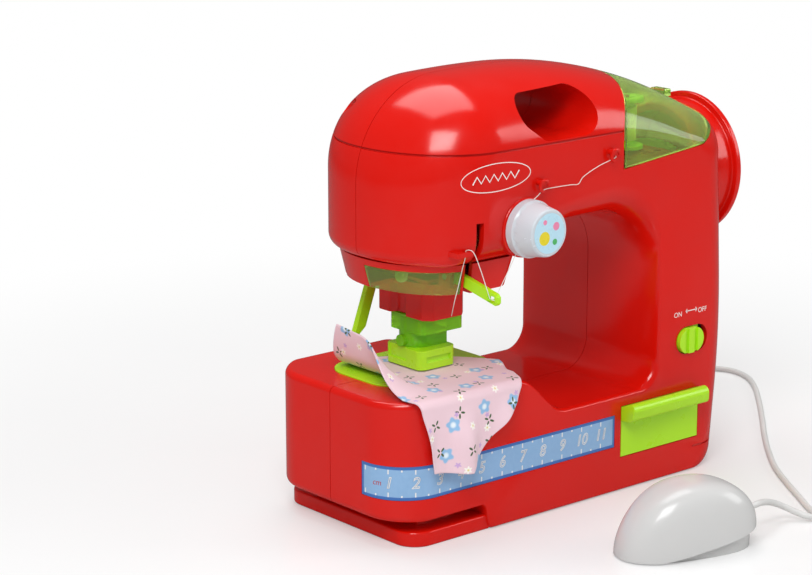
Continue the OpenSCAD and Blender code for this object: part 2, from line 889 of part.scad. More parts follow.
module motor() {
    color(steel) {
        rod_x(motor_r, motor_x, motor_x + motor_len, 0, motor_z);
        rod_x(3, motor_x + motor_len - eps, motor_x + motor_len + 1, 0, motor_z);
    }
}

module motor_cradle() {
    color("#c9cdd2")
        difference() {
            box(motor_x + 3, motor_x + motor_len - 8, -motor_r - 2, half_depth - shell_wall - seat,
                motor_z - motor_r - 2.5, motor_z - 2);
            rod_x(motor_r + 0.3, 0, 100, 0, motor_z);
        }
}

module motor_pinion() {
    color("#e8e0c8")
        translate([gear_x - 1, 0, motor_z])
            rotate([90, 0, 90])
                linear_extrude(gear_w + 2)
                    spur(pinion_teeth, 180 / pinion_teeth);
}

// Head skirt, lamp and needle train

module skirt_outline(left, half, right) {
    hull() {
        translate([-46, 0])
            resize([2 * (left - 46), 2 * half])
                circle(31, $fn = 48);
        translate([right - 6, -half + 6])
            circle(6, $fn = 24);
        translate([right - 6, half - 6])
            circle(6, $fn = 24);
    }
}

module skirt_solid(d) {
    hull() {
        translate([0, 0, skirt_z])
            linear_extrude(0.2)
                skirt_outline(69 - d, half_depth - 7.4 - d, -28 - d);
        translate([0, 0, skirt_top - 0.2])
            linear_extrude(0.2)
                skirt_outline(72.4 - d, half_depth - 6 - d, -25 - d);
    }
}

// The lamp lens's share of the skirt's front left
module lens_region(gap) {
    difference() {
        translate([0, 0, skirt_z - 1 + gap])
            linear_extrude(9.6 - 2 * gap)
                polygon([[-56 - gap, 0 - gap], [-90, 0 - gap], [-90, -50], [-51.5 - gap, -50],
                    [-51.5 - gap, -20]]);
        translate([0, 0, skirt_z - 5])
            linear_extrude(30)
                skirt_outline(58 + gap, 22 + gap, -28);
    }
}

module head_skirt() {
    color(red) {
        difference() {
            skirt_solid(0);
            difference() {
                skirt_solid(skirt_wall);
                box(-100, 0, -50, 50, skirt_z - 1, skirt_z + skirt_floor);
            }
            translate([0, 0, skirt_top - 1])
                linear_extrude(2)
                    skirt_outline(72.4 - skirt_wall, half_depth - 6 - skirt_wall, -25 - skirt_wall);
            translate([0, 0, skirt_z - 1])
                linear_extrude(4)
                    translate([needle_x, 0])
                        square([block_w + 2 * block_fit, block_d + 2 * block_fit], center = true);
            box(lever_x - lever_slot / 2, lever_x + lever_slot / 2, -far, -half_depth + 22,
                skirt_z - 1, skirt_top + 1);
            box(lifter_pivot[0] - 16, lifter_pivot[0] + 3, lifter_y - 0.4, lifter_y + lifter_t + 0.4,
                skirt_z - 1, skirt_z + 3);
            lens_region(0);
        }
        difference() {
            for (s = [-1, 1])
                box(lever_x + s * (lever_slot / 2 + 0.9) - 0.9,
                    lever_x + s * (lever_slot / 2 + 0.9) + 0.9,
                    lever_pivot[0] - 3, lever_pivot[0] + 3, skirt_z + skirt_floor - eps,
                        lever_pivot[1] + 2.6);
            rod_x(lever_pin_r + run_fit, -80, 0, lever_pivot[0], lever_pivot[1]);
        }
        difference() {
            for (y = [lifter_y - 2.4, lifter_y + lifter_t + 0.6])
                box(lifter_pivot[0] - 3, lifter_pivot[0] + 3, y, y + 1.8, skirt_z + skirt_floor - eps,
                    lifter_pivot[1] + 2.6);
            rod_y(lifter_pin_r + run_fit, 0, 40, lifter_pivot[0], lifter_pivot[1]);
        }
    }
}

module lamp_lens() {
    color(glass_green, 0.6)
        intersection() {
            difference() {
                skirt_solid(0);
                skirt_solid(skirt_wall - 0.4);
            }
            lens_region(0.2);
        }
}

module lamp_led() {
    color("white") {
        rod_z(2.4, skirt_z + 5, skirt_top - seat, -62, -10);
        translate([-62, -10, skirt_z + 5])
            sphere(2.4);
    }
}

module needle_block() {
    x0 = needle_x - block_w / 2;
    x1 = needle_x + block_w / 2;
    y0 = -block_d / 2;
    color(red)
        difference() {
            union() {
                translate([0, 0, block_z])
                    linear_extrude(block_top - block_z - eps)
                        polygon([
                            [x0, y0 + 3], [x0 + 3, y0], [x1 - 3, y0], [x1, y0 + 3], [x1, -y0 - 3],
                            [x1 - 3, -y0],
                            [x0 + 3, -y0], [x0, -y0 - 3], [x0, 6], [x0 + 2.6, 4.4], [x0 + 2.6, -1.4],
                            [x0, -3]]);
                translate([0, 0, block_top - block_flange])
                    linear_extrude(block_flange)
                        translate([needle_x, 0])
                            square([block_w + 2.2, block_d + 2.2], center = true);
            }
            rod_z(bar_r + run_fit, 0, 200, needle_x, 0);
            rod_z(bar_r + 3, block_z + 4, 200, needle_x, 0);
        }
}

module needle_bar() {
    color(steel) {
        rod_z(bar_r, bar_low, bar_top, needle_x, 0);
        difference() {
            box(needle_x - 1.6, crank_x - 2.6, -crank_r - 3, crank_r + 3, yoke_z - yoke_h / 2,
                yoke_z + yoke_h / 2);
            box(needle_x + bar_r + 0.2, crank_x, -crank_r - crank_pin_r - 0.2,
                crank_r + crank_pin_r + 0.2,
                yoke_z - crank_pin_r - 0.2, yoke_z + crank_pin_r + 0.2);
        }
    }
}

module needle() {
    color("#d6d9dd") {
        rod_z(needle_r, needle_tip + 3, bar_low, needle_x, 0);
        translate([needle_x, 0, needle_tip])
            cylinder(r1 = 0.1, r2 = needle_r, h = 3 + eps);
    }
}

// Where the guard's body ends, with its half round left side
module guard_outline(grow) {
    hull() {
        translate([needle_x - 2, 0])
            circle(guard_body_d / 2 + grow);
        translate([needle_x + guard_body_w / 2 - 1, 0])
            square([2 + 2 * grow, guard_body_d + 2 * grow], center = true);
    }
}

module needle_guard() {
    z1 = block_z - seat / 2;
    color(glass_green, 0.6)
        difference() {
            union() {
                translate([0, 0, z1 - guard_flange])
                    linear_extrude(guard_flange)
                        round_rect(needle_x - guard_w / 2 + 2, needle_x + guard_w / 2 + 2,
                            -guard_d / 2 - 0.8, guard_d / 2 - 0.8, 2.5);
                translate([0, 0, guard_low])
                    linear_extrude(z1 - guard_low - 1)
                        guard_outline(0);
                rod_x(2.2, needle_x - 2 - guard_body_d / 2 - 1.6, needle_x - guard_body_d / 2, 0,
                    z1 - guard_flange - 3.4);
            }
            translate([0, 0, guard_low - 1])
                linear_extrude(z1 - guard_low - 1)
                    guard_outline(-guard_wall);
            rod_z(bar_r + 0.6, 0, 200, needle_x, 0);
        }
}

module presser_foot() {
    x0 = needle_x - foot_w / 2 - 1;
    x1 = needle_x + foot_w / 2 - 1;
    color(lime)
        difference() {
            translate([0, 0, sole_z])
                linear_extrude(foot_h)
                    round_rect(x0, x1, -foot_d / 2 - 1, foot_d / 2 - 1, 3);
            translate([0, 0, guard_low - seat / 2])
                linear_extrude(20)
                    guard_outline(seat);
            translate([0, 0, sole_z + sole_t])
                linear_extrude(20)
                    guard_outline(-guard_wall);
            rod_z(hole_r, 0, 100, needle_x, 0);
            box(x0 - 1, x0 + 0.8, -3, 7, sole_z + 2.4, sole_z + foot_h + 1);
            box(x0 + 3, x1 - 3, -foot_d, -foot_d / 2 - 0.2, sole_z + 2.6, sole_z + 4.6);
        }
}

module presser_lifter() {
    p = lifter_pivot;
    color(lime)
        difference() {
            union() {
                plate_y(lifter_y, lifter_y + lifter_t)
                    polygon([
                        [p[0] - 2.4, p[1]], [p[0] - 2.6, p[1] - 5], [p[0] - 10.5, p[1] - 27],
                        [p[0] - 8.6, p[1] - 28],
                        [p[0] - 5, p[1] - 25], [p[0] + 1, p[1] - 8], [p[0] + 2.4, p[1]]]);
                rod_y(2.4, lifter_y, lifter_y + lifter_t, p[0], p[1]);
            }
            rod_y(lifter_pin_r + run_fit, 0, 40, p[0], p[1]);
        }
}

module lifter_pin() {
    color(steel)
        rod_y(lifter_pin_r, lifter_y - 2.4, lifter_y + lifter_t + 2.4, lifter_pivot[0], lifter_pivot[1]);
}

module take_up_lever() {
    p = lever_pivot;
    tip = [p[0] - lever_len * cos(lever_slope), p[1] - lever_len * sin(lever_slope)];
    color(lime)
        difference() {
            union() {
                plate_x(lever_x - lever_t / 2, lever_x + lever_t / 2)
                    polygon([
                        [p[0], p[1] + 2.3], [p[0] - 8, p[1] + 1.2], [tip[0] + 1, tip[1] + lever_h / 2],
                        [tip[0], tip[1] + lever_h / 2 - 1],
                        [tip[0], tip[1] - lever_h / 2 + 1], [tip[0] + 1, tip[1] - lever_h / 2],
                        [p[0] - 8, p[1] - 3], [p[0], p[1] - 2.3]]);
                rod_x(2.3, lever_x - lever_t / 2, lever_x + lever_t / 2, p[0], p[1]);
            }
            rod_x(lever_pin_r + run_fit, -80, 0, p[0], p[1]);
            box(-80, 0, tip[0] + 1.6, tip[0] + 5.2, tip[1] - 0.9, tip[1] + 1.1);
        }
}

module take_up_pin() {
    w = lever_slot / 2 + 1.8;
    color(steel)
        rod_x(lever_pin_r, lever_x - w, lever_x + w, lever_pivot[0], lever_pivot[1]);
}

module needle_plate() {
    color(lime)
        difference() {
            translate([0, 0, bed_z + plate_proud - plate_t])
                linear_extrude(plate_t)
                    round_rect(plate_box[0], plate_box[1], plate_box[2], plate_box[3], plate_r);
            rod_z(hole_r, 0, 100, needle_x, 0);
        }
}

// Front controls

module tension_dial() {
    color("#dde3ea")
        difference() {
            translate([dial_x, -dial_back, dial_z])
                rotate([90, 0, 0])
                    rotate_extrude()
                        polygon([
                            [0, 0], [dial_r, 0], [dial_r, dial_ring], [dial_r - 0.6, dial_ring + 0.6],
                            [dial_face_r, dial_len - 0.6], [dial_face_r - 0.6, dial_len],
                            [0, dial_len]]);
            for (k = [0:dial_flutes - 1])
                translate([dial_x, -dial_back - dial_ring - 1, dial_z])
                    rotate([90, 360 * k / dial_flutes, 0])
                        translate([dial_r + 0.1, 0, 0])
                            cylinder(r = 0.9, h = 20);
        }
    color("#dde3ea")
        rod_y(stem_r, -dial_back - eps, -half_depth + 12, dial_x, dial_z);
}

module tension_spring() {
    color(steel)
        difference() {
            rod_y(stem_r + 1.6, -half_depth + 3 + seat, -half_depth + 10, dial_x, dial_z);
            rod_y(stem_r + 0.4, -far, 0, dial_x, dial_z);
        }
}

module power_button() {
    h = switch_h - 0.8;
    w = switch_w - switch_travel - 0.8;
    x0 = switch_x - switch_w / 2 + 0.4;
    color(lime) {
        difference() {
            plate_y(-half_depth - 1.6, -half_depth + shell_wall + 0.4)
                round_rect(x0, x0 + w, switch_z - h / 2, switch_z + h / 2, h / 2 - eps);
            for (x = [-2.4, 2.4])
                box(x0 + w / 2 + x - 0.9, x0 + w / 2 + x + 0.9, -far, -half_depth - 0.6, switch_z - h,
                    switch_z + h);
        }
        box(x0 - 2, x0 + w + 0.4, -half_depth + shell_wall + 0.2, -half_depth + shell_wall + 1.6,
            switch_z - h / 2 - 2, switch_z + h / 2 + 2);
    }
}

module switch_body() {
    color("#30343a")
        box(switch_x - 9, switch_x + 9, -half_depth + shell_wall + 1.9, -half_depth + shell_wall + 9,
            switch_z - 5, switch_z + 5);
}

// Drawer and ruler

module drawer() {
    x0 = drawer_left + drawer_gap;
    x1 = drawer_right - drawer_gap;
    z0 = drawer_low + drawer_gap;
    z1 = drawer_low + drawer_h - drawer_gap;
    color(lime) {
        box(x0, x1, -half_depth, -half_depth + panel_t, z0, z1);
        difference() {
            box(x0 + 1, x1 - 1, -half_depth + panel_t - eps, -half_depth + drawer_len, z0, z0 + tray_h);
            box(x0 + 1 + tray_wall, x1 - 1 - tray_wall, -half_depth + panel_t,
                -half_depth + drawer_len - tray_wall, z0 + tray_wall, z0 + 40);
        }
        hull() {
            rod_x(2.4, x0 + 0.6, x1 - 0.6, -half_depth - drawer_bar + 2.4, z1 - 0.8);
            rod_x(2, x0, x1, -half_depth - drawer_bar + 2.6, z1 - 3.2);
            box(x0, x1, -half_depth - 0.6, -half_depth + eps, z1 - 5.4, z1 - 0.2);
        }
    }
}

module drawer_guide() {
    x0 = drawer_left - 1.8;
    x1 = drawer_right + 1.8;
    y0 = -half_depth + panel_t + 0.3;
    y1 = -half_depth + drawer_len + 2;
    color("#c9cdd2") {
        difference() {
            box(x0, x1, y0, y1, drawer_low - 1.6, drawer_low + drawer_h - 4);
            box(drawer_left + 0.9, drawer_right - 0.9, y0 - 1, y1 + 1, drawer_low + 0.2, 60);
        }
        for (x = [x0, x1 - 2])
            box(x, x + 2, y0 + 4, y1, shell_wall + seat, drawer_low - 1.6 + eps);
    }
}

module ruler_strip() {
    color("#8fb4d4")
        translate([0, 0, ruler_low + seat])
            linear_extrude(ruler_h - 2 * seat)
                difference() {
                    ruler_band(-ruler_recess + 0.4, ruler_recess, 2.3 - seat);
                    translate([ruler_right - seat, -half_depth - 5])
                        square(10);
                }
}

// Battery box

module battery_box() {
    color("#30343a")
        difference() {
            box(box_x[0] - 2, box_x[1] + 2, -box_half - 2, box_half + 2, shell_wall + seat, box_top);
            box(box_x[0] + box_wall, box_x[1] - box_wall, -box_half + box_wall, box_half - box_wall, 0,
                box_top - box_wall);
        }
}

module battery_door() {
    g = 0.3;
    color(red)
        box(box_x[0] + box_wall + g, box_x[1] - box_wall - g, -box_half + box_wall + g,
            box_half - box_wall - g, 0, door_t);
}

module battery_cells() {
    x0 = (box_x[0] + box_x[1] - cell_len) / 2;
    color("#8a8f3a")
        for (y = cell_y) {
            rod_x(cell_r, x0, x0 + cell_len - 1, y, cell_z);
            rod_x(2.7, x0 + cell_len - 1 - eps, x0 + cell_len, y, cell_z);
        }
}

module battery_contacts() {
    x0 = (box_x[0] + box_x[1] - cell_len) / 2;
    color(steel)
        for (y = cell_y, x = [x0 - 0.8, x0 + cell_len + 0.2])
            box(x, x + 0.6, y - 5, y + 5, cell_z - 5, cell_z + 5);
}

// Cloth on the bed

function smooth(t) =
    let (s = min(max(t, 0), 1))
    s * s * (3 - 2 * s);

// Lays one flat point over the bed's front edge and lifts the left flap
function drape(p) =
    let (s = max(0, -cloth_edge - p[1]),
        q = cloth_bend * PI / 2,
        a = min(s, q) / cloth_bend * 180 / PI,
        down = max(0, s - q),
        fold = smooth(down / 26),
        wave = 1.6 * fold * (1 + sin(p[0] * 17 + 40)),
        y = s > 0 ? -cloth_edge - cloth_bend * sin(a) - wave : p[1],
        z = cloth_z - cloth_bend * (1 - cos(a)) - down,
        f = max(0, flap_x - p[0]),
        w = smooth((p[1] + 62) / 24),
        turn = flap_angle * w,
        arc = flap_bend * turn * PI / 180,
        b = turn < 1 ? 0 : min(f, arc) / flap_bend * 180 / PI,
        rest = turn < 1 ? f : max(0, f - arc),
        dx = turn < 1 ? f : flap_bend * sin(b) + rest * cos(b),
        dz = turn < 1 ? 0 : flap_bend * (1 - cos(b)) + rest * sin(b))
    [f > 0 ? flap_x - dx : p[0], y, z + dz];

module fabric_piece() {
    u = unit(cloth_front - cloth_right);
    v = [u[1], -u[0]];
    nu = cloth_cells[0];
    nv = cloth_cells[1];
    grid = [for (i = [0:nu], j = [0:nv])
        cloth_right + u * cloth_len * i / nu + v * cloth_w * j / nv];
    mid = [for (p = grid) drape(p)];
    normals = [for (p = grid)
        unit(cross(drape(p + [0.4, 0]) - drape(p - [0.4, 0]), drape(p + [0, 0.4]) - drape(p - [0,
            0.4])))];
    n = len(grid);
    m = nv + 1;
    top = [for (i = [0:n - 1]) mid[i] + normals[i] * cloth_t / 2];
    low = [for (i = [0:n - 1]) mid[i] - normals[i] * cloth_t / 2];
    cells = [for (i = [0:nu - 1], j = [0:nv - 1])
        let (a = i * m + j)
        each [[a, a + m, a + 1], [a + 1, a + m, a + m + 1]]];
    edge = concat(
        [for (i = [0:nu - 1]) [i * m, (i + 1) * m]],
        [for (j = [0:nv - 1]) [nu * m + j, nu * m + j + 1]],
        [for (i = [nu:-1:1]) [i * m + nv, (i - 1) * m + nv]],
        [for (j = [nv:-1:1]) [j, j - 1]]);
    faces = concat(
        [for (f = cells) [f[2], f[1], f[0]]],
        [for (f = cells) [f[0] + n, f[1] + n, f[2] + n]],
        [for (e = edge) each [[e[0], e[1], e[0] + n], [e[1], e[1] + n, e[0] + n]]]);
    color("#ebcfda")
        difference() {
            polyhedron(concat(top, low), faces, convexity = 8);
            rod_z(1.4, bed_z, bed_z + 4, needle_x, 0);
        }
}

// Foot pedal and cord

module pedal_place() {
    translate([pedal_x, pedal_y, 0])
        rotate(pedal_turn)
            children();
}

function signed_pow(v, e) = sign(v) * pow(abs(v), e);
function pedal_edge(d) = [
    for (k = [0:pedal_points - 1])
        let (a = 360 * (k + 0.5) / pedal_points,
            e = cos(a) > 0 ? 0.62 : 0.9)
        [(pedal_half_len - d) * signed_pow(cos(a), e), (pedal_half_w - d) * signed_pow(sin(a), 0.85)]];

// Crest of the pedal along its length, and its slanted lower edge
function pedal_crest(x) =
    let (s = (x - 2) / (x > 2 ? 36 : 31))
    3 + (pedal_h - 3) * sqrt(max(0, 1 - s * s));
function pedal_low(x) = 0.5 + max(0, x + 16) * pedal_skirt;

pedal_steps = 6;
module pedal_dome(d, drop) {
    edge = pedal_edge(d);
    n = pedal_points;
    points = concat(
        [for (j = [0:pedal_steps - 1], p = edge)
            let (t = 90 * j / pedal_steps,
                q = pow(cos(t), 0.5),
                s = pow(sin(t), 0.8),
                x = 2 + (p[0] - 2) * q)
            [x, p[1] * q, (pedal_low(p[0]) - drop) * (1 - s) + (pedal_crest(x) - d) * s]],
        [[2, 0, pedal_crest(2) - d], [2, 0, pedal_low(2) - drop]]);
    top = pedal_steps * n;
    faces = concat(
        [for (j = [0:pedal_steps - 2], k = [0:n - 1])
            let (a = j * n + k,
                b = j * n + (k + 1) % n)
            each [[a, a + n, b], [b, a + n, b + n]]],
        [for (k = [0:n - 1]) [top - n + k, top, top - n + (k + 1) % n]],
        [for (k = [0:n - 1]) [k, (k + 1) % n, top + 1]]);
    polyhedron(points, faces, convexity = 4);
}

module pedal_cover() {
    color(pale)
        pedal_place() {
            difference() {
                pedal_dome(0, 0);
                pedal_dome(pedal_wall, 3);
                plate_x(pedal_half_len - 8, pedal_half_len + 8)
                    hull()
                        for (z = [11.6, 15.6])
                            translate([-0.6, z])
                                circle(cord_d / 2 + 0.9);
            }
            difference() {
                intersection() {
                    pedal_dome(pedal_wall / 2, 0);
                    for (y = [-3.8, 3.8])
                        box(pedal_pivot[0] - 2.2, pedal_pivot[0] + 2.2, y - 0.9, y + 0.9, 1.4, 30);
                }
                rod_y(pedal_pin_r + run_fit, -20, 20, pedal_pivot[0], pedal_pivot[1]);
            }
        }
}

module pedal_base() {
    d = pedal_wall + pedal_fit;
    color("#e4e4e2")
        pedal_place() {
            difference() {
                intersection() {
                    linear_extrude(12)
                        polygon(pedal_edge(d));
                    plate_y(-40, 40)
                        polygon([[-40, 0], [40, 0], [40, 7.2], [pedal_half_len, 7.2], [-8, 2.6],
                            [-40, 2.6]]);
                }
                box(pedal_pivot[0] - 3, pedal_pivot[0] + 3, -5.2, 5.2, 0.8, 20);
                rod_y(pedal_pin_r + run_fit, -6.7, 6.7, pedal_pivot[0], pedal_pivot[1]);
            }
        }
}

module pedal_hinge_pin() {
    color(steel)
        pedal_place()
            rod_y(pedal_pin_r, -6.6, 6.6, pedal_pivot[0], pedal_pivot[1]);
}

module pedal_spring() {
    color(steel)
        pedal_place()
            difference() {
                rod_z(3, 6.2, pedal_h - pedal_wall - 2.6, 12, 0);
                rod_z(2.2, 0, 60, 12, 0);
            }
}

module pedal_switch() {
    color("#30343a")
        pedal_place()
            box(-5, 5, -4, 4, 4.9, 11);
}

function spline(a, b, c, d, t) =
    0.5 * (2 * b + (c - a) * t + (2 * a - 5 * b + 4 * c - d) * t * t + (3 * b - a - 3 * c + d) * t * t * t);
cord_path = [
    for (i = [0:len(cord_route) - 2], t = [0, 0.5])
        let (n = len(cord_route) - 1)
        spline(cord_route[max(i - 1, 0)], cord_route[i], cord_route[i + 1], cord_route[min(i + 2, n)],
            t)];
cord_line = concat(cord_path, [cord_route[len(cord_route) - 1]]);
function path_length(p, i = 1) = i >= len(p) ? 0 : norm(p[i] - p[i - 1]) + path_length(p, i + 1);
echo(cord_length = path_length(cord_line));

module pedal_cord() {
    color(pale)
        polyhedron(tube_points(cord_line, cord_d / 2, cord_sides), tube_faces(len(cord_line),
            cord_sides), convexity = 10);
}

grommet_r = 3.6;
module cord_grommet() {
    color(pale)
        difference() {
            union() {
                rod_y(grommet_r, half_depth - shell_wall - 1, half_depth + 1, cord_exit[0],
                    cord_exit[2]);
                rod_y(grommet_r + 1.2, half_depth + 0.2, half_depth + 1.6, cord_exit[0], cord_exit[2]);
                translate([cord_exit[0], half_depth + 1, cord_exit[2]])
                    rotate([-90, 0, 0])
                        cylinder(r1 = grommet_r - 0.4, r2 = cord_d / 2 + 0.6, h = 7);
            }
            rod_y(cord_d / 2 + 0.1, 0, 60, cord_exit[0], cord_exit[2]);
        }
}

front_shell();
rear_shell();
spool_lid();
spool_deck();
thread_spool();
spool_thread();
handwheel_collar();
handwheel_knob();
main_shaft();
shaft_bushes();
drive_gear();
crank_disc();
motor();
motor_cradle();
motor_pinion();
head_skirt();
lamp_lens();
lamp_led();
needle_block();
needle_bar();
needle();
needle_guard();
presser_foot();
presser_lifter();
lifter_pin();
take_up_lever();
take_up_pin();
tension_dial();
tension_spring();
needle_plate();
power_button();
switch_body();
drawer();
drawer_guide();
ruler_strip();
battery_box();
battery_door();
battery_cells();
battery_contacts();
case_screws();
fabric_piece();
pedal_base();
pedal_cover();
pedal_hinge_pin();
pedal_spring();
pedal_switch();
pedal_cord();
cord_grommet();
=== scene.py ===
import json
import math
import bpy
import bmesh
import numpy as np
from mathutils import Matrix, Vector
from mathutils.bvhtree import BVHTree


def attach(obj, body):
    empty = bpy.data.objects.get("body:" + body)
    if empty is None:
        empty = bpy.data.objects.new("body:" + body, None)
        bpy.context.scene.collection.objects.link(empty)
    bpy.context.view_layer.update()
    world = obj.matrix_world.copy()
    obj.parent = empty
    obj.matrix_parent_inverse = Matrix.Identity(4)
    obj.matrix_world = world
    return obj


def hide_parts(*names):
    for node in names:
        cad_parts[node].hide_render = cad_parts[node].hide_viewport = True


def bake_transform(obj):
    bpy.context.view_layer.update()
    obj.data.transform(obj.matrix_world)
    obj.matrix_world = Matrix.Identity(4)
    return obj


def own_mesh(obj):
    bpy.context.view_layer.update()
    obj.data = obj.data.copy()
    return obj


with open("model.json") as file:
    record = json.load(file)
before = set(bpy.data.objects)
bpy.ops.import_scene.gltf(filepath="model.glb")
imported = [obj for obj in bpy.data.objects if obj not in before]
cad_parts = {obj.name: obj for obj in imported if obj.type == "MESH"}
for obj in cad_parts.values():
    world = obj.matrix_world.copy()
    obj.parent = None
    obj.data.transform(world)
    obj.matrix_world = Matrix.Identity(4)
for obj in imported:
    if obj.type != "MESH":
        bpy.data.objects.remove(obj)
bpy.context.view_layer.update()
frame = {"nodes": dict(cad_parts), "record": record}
scene = bpy.context.scene
mm = 0.001
print("stage: frame loaded")


def srgb(code):  # linear colour from a hex code
    parts = [int(code[i:i + 2], 16) / 255 for i in (1, 3, 5)]
    return tuple(c / 12.92 if c <= 0.04045 else ((c + 0.055) / 1.055) ** 2.4 for c in parts) + (1.0,)


def addNode(tree, kind, settings=None, **sockets):  # i3 is input 3, and a node stands for its first output
    node = tree.nodes.new(kind)
    for key, value in (settings or {}).items():
        setattr(node, key, value)
    for key, value in sockets.items():
        numbered = key[0] == "i" and key[1:].isdigit()
        socket = node.inputs[int(key[1:])] if numbered else node.inputs[key.replace("_", " ")]
        if isinstance(value, bpy.types.Node):
            value = value.outputs[0]
        if isinstance(value, bpy.types.NodeSocket):
            tree.links.new(value, socket)
        else:
            socket.default_value = value
    return node


colorMix = ("ShaderNodeMix", {"data_type": "RGBA"})  # inputs 0, 6 and 7, output 2
smoothRange = ("ShaderNodeMapRange", {"interpolation_type": "SMOOTHSTEP"})
plus, minus, times, largest, above, below = (("ShaderNodeMath", {"operation": name}) for name in (
    "ADD", "SUBTRACT", "MULTIPLY", "MAXIMUM", "GREATER_THAN", "LESS_THAN"))


def newMaterial(name):
    mat = bpy.data.materials.new(name)
    mat.use_nodes = True
    mat.node_tree.nodes.clear()
    return mat, mat.node_tree


def plastic(name, look):  # moulded plastic: faint tone drift, flow waviness and handling haze
    mat, tree = newMaterial(name)
    coords = addNode(tree, "ShaderNodeTexCoord").outputs["Object"]
    drift, haze, grain = (
        addNode(tree, "ShaderNodeTexNoise", Vector=coords, Scale=1 / (look[key] * mm), Detail=detail)
        for key, detail in (("drift", 2.0), ("haze", 4.0), ("grain", 3.0)))
    tone = addNode(tree, *colorMix, i0=drift, i6=srgb(look["color"]), i7=srgb(look["shade"]))
    low, high = look["rough"]
    rough = addNode(tree, "ShaderNodeMapRange", Value=haze, From_Min=0.35, From_Max=0.75,
                    To_Min=low, To_Max=high)
    bump = addNode(tree, "ShaderNodeBump", Strength=look["bump"], Distance=0.05 * mm, Height=grain)
    shader = addNode(
        tree, "ShaderNodeBsdfPrincipled", Base_Color=tone.outputs[2], Roughness=rough, Normal=bump,
        IOR=look.get("ior", 1.5), Transmission_Weight=look.get("clear", 0.0),
        Subsurface_Weight=look.get("glow", 0.0), Subsurface_Radius=(2 * mm, 2 * mm, 2 * mm),
        Coat_Weight=look.get("coat", 0.0), Coat_Roughness=0.06)
    addNode(tree, "ShaderNodeOutputMaterial", Surface=shader)
    return mat


looks = {  # pattern sizes in mm
    # glossy moulded red, the housing
    "redAbs": {"color": "#DE1508", "shade": "#CF1006", "drift": 60, "haze": 9, "grain": 1.6, "bump": 0.05,
        "rough": (0.15, 0.25), "coat": 0.08},
    # painted shade: the housing red made deeper for the spool deck and the battery door, where little light
    # reaches; also duller
    "redDeep": {"color": "#B81008", "shade": "#A80C06", "drift": 60, "haze": 9, "grain": 1.6, "bump": 0.08,
        "rough": (0.25, 0.4)},
    # satin lime of all that is handled
    "limeAbs": {"color": "#B8F01E", "shade": "#ACE716", "drift": 30, "haze": 7, "grain": 1.2, "bump": 0.06,
        "rough": (0.26, 0.38), "coat": 0.15},
    # pale pedal, smooth and a little dull
    "whiteAbs": {"color": "#D3D3D2", "shade": "#CBCBCA", "drift": 40, "haze": 14, "grain": 1.2, "bump": 0.04,
        "rough": (0.2, 0.25), "coat": 0.1},
    # soft cord jacket without gloss
    "cordPvc": {"color": "#DEDEDC", "shade": "#D2D2D0", "drift": 20, "haze": 4, "grain": 0.8, "bump": 0.1,
        "rough": (0.38, 0.5)},
    # unpolished inner mouldings
    "greyAbs": {"color": "#CFD2D0", "shade": "#C2C6C4", "drift": 30, "haze": 6, "grain": 0.8, "bump": 0.15,
        "rough": (0.4, 0.55)},
    # matt switch and battery housings
    "blackAbs": {"color": "#2E3238", "shade": "#24272C", "drift": 30, "haze": 6, "grain": 0.6, "bump": 0.2,
        "rough": (0.45, 0.6)},
    # shrunk film on the cells
    "cellJacket": {"color": "#5F7A38", "shade": "#566F32", "drift": 20, "haze": 6, "grain": 2.0, "bump": 0.04,
        "rough": (0.25, 0.35)},
    # green tinted clear lid and lens
    "clearGreen": {"color": "#D9F98E", "shade": "#D2F582", "drift": 40, "haze": 8, "grain": 3.0, "bump": 0.03,
        "rough": (0.03, 0.07), "clear": 0.88, "ior": 1.46},
    # stronger green, half clear guard
    "clearLime": {"color": "#A0F428", "shade": "#96EE20", "drift": 20, "haze": 6, "grain": 2.0, "bump": 0.03,
        "rough": (0.06, 0.1), "clear": 0.5, "ior": 1.46},
    # milky dial that glows a little
    "clearWhite": {"color": "#E6ECF2", "shade": "#DCE4EC", "drift": 12, "haze": 5, "grain": 1.0, "bump": 0.06,
        "rough": (0.2, 0.3), "clear": 0.22, "glow": 0.2},
    # opaque pad print
    "printWhite": {"color": "#F4F2EE", "shade": "#ECEAE6", "drift": 6, "haze": 3, "grain": 0.4, "bump": 0.05,
        "rough": (0.35, 0.45)},
    # opaque pad print
    "printRed": {"color": "#C23A34", "shade": "#B4322C", "drift": 6, "haze": 3, "grain": 0.4, "bump": 0.05,
        "rough": (0.35, 0.45)},
    # fuzzy spun thread
    "cottonThread": {"color": "#F0EFEA", "shade": "#DEDCD4", "drift": 2, "haze": 1, "grain": 0.2, "bump": 0.6,
        "rough": (0.7, 0.85)},
    # smooth printed film
    "stickerBlue": {"color": "#BFE3F2", "shade": "#B2DAEC", "drift": 6, "haze": 3,
        "grain": 0.6, "bump": 0.04, "rough": (0.25, 0.35)},
    "stickerYellow": {"color": "#EAD92C", "shade": "#E0CC22", "drift": 6, "haze": 3,
        "grain": 0.6, "bump": 0.04, "rough": (0.25, 0.35)},
    "stickerPink": {"color": "#EE8FB0", "shade": "#E681A6", "drift": 6, "haze": 3,
        "grain": 0.6, "bump": 0.04, "rough": (0.25, 0.35)},
    "stickerGreen": {"color": "#58B86A", "shade": "#4CAE60", "drift": 6, "haze": 3,
        "grain": 0.6, "bump": 0.04, "rough": (0.25, 0.35)},
}
mats = {key: plastic(key, look) for key, look in looks.items()}


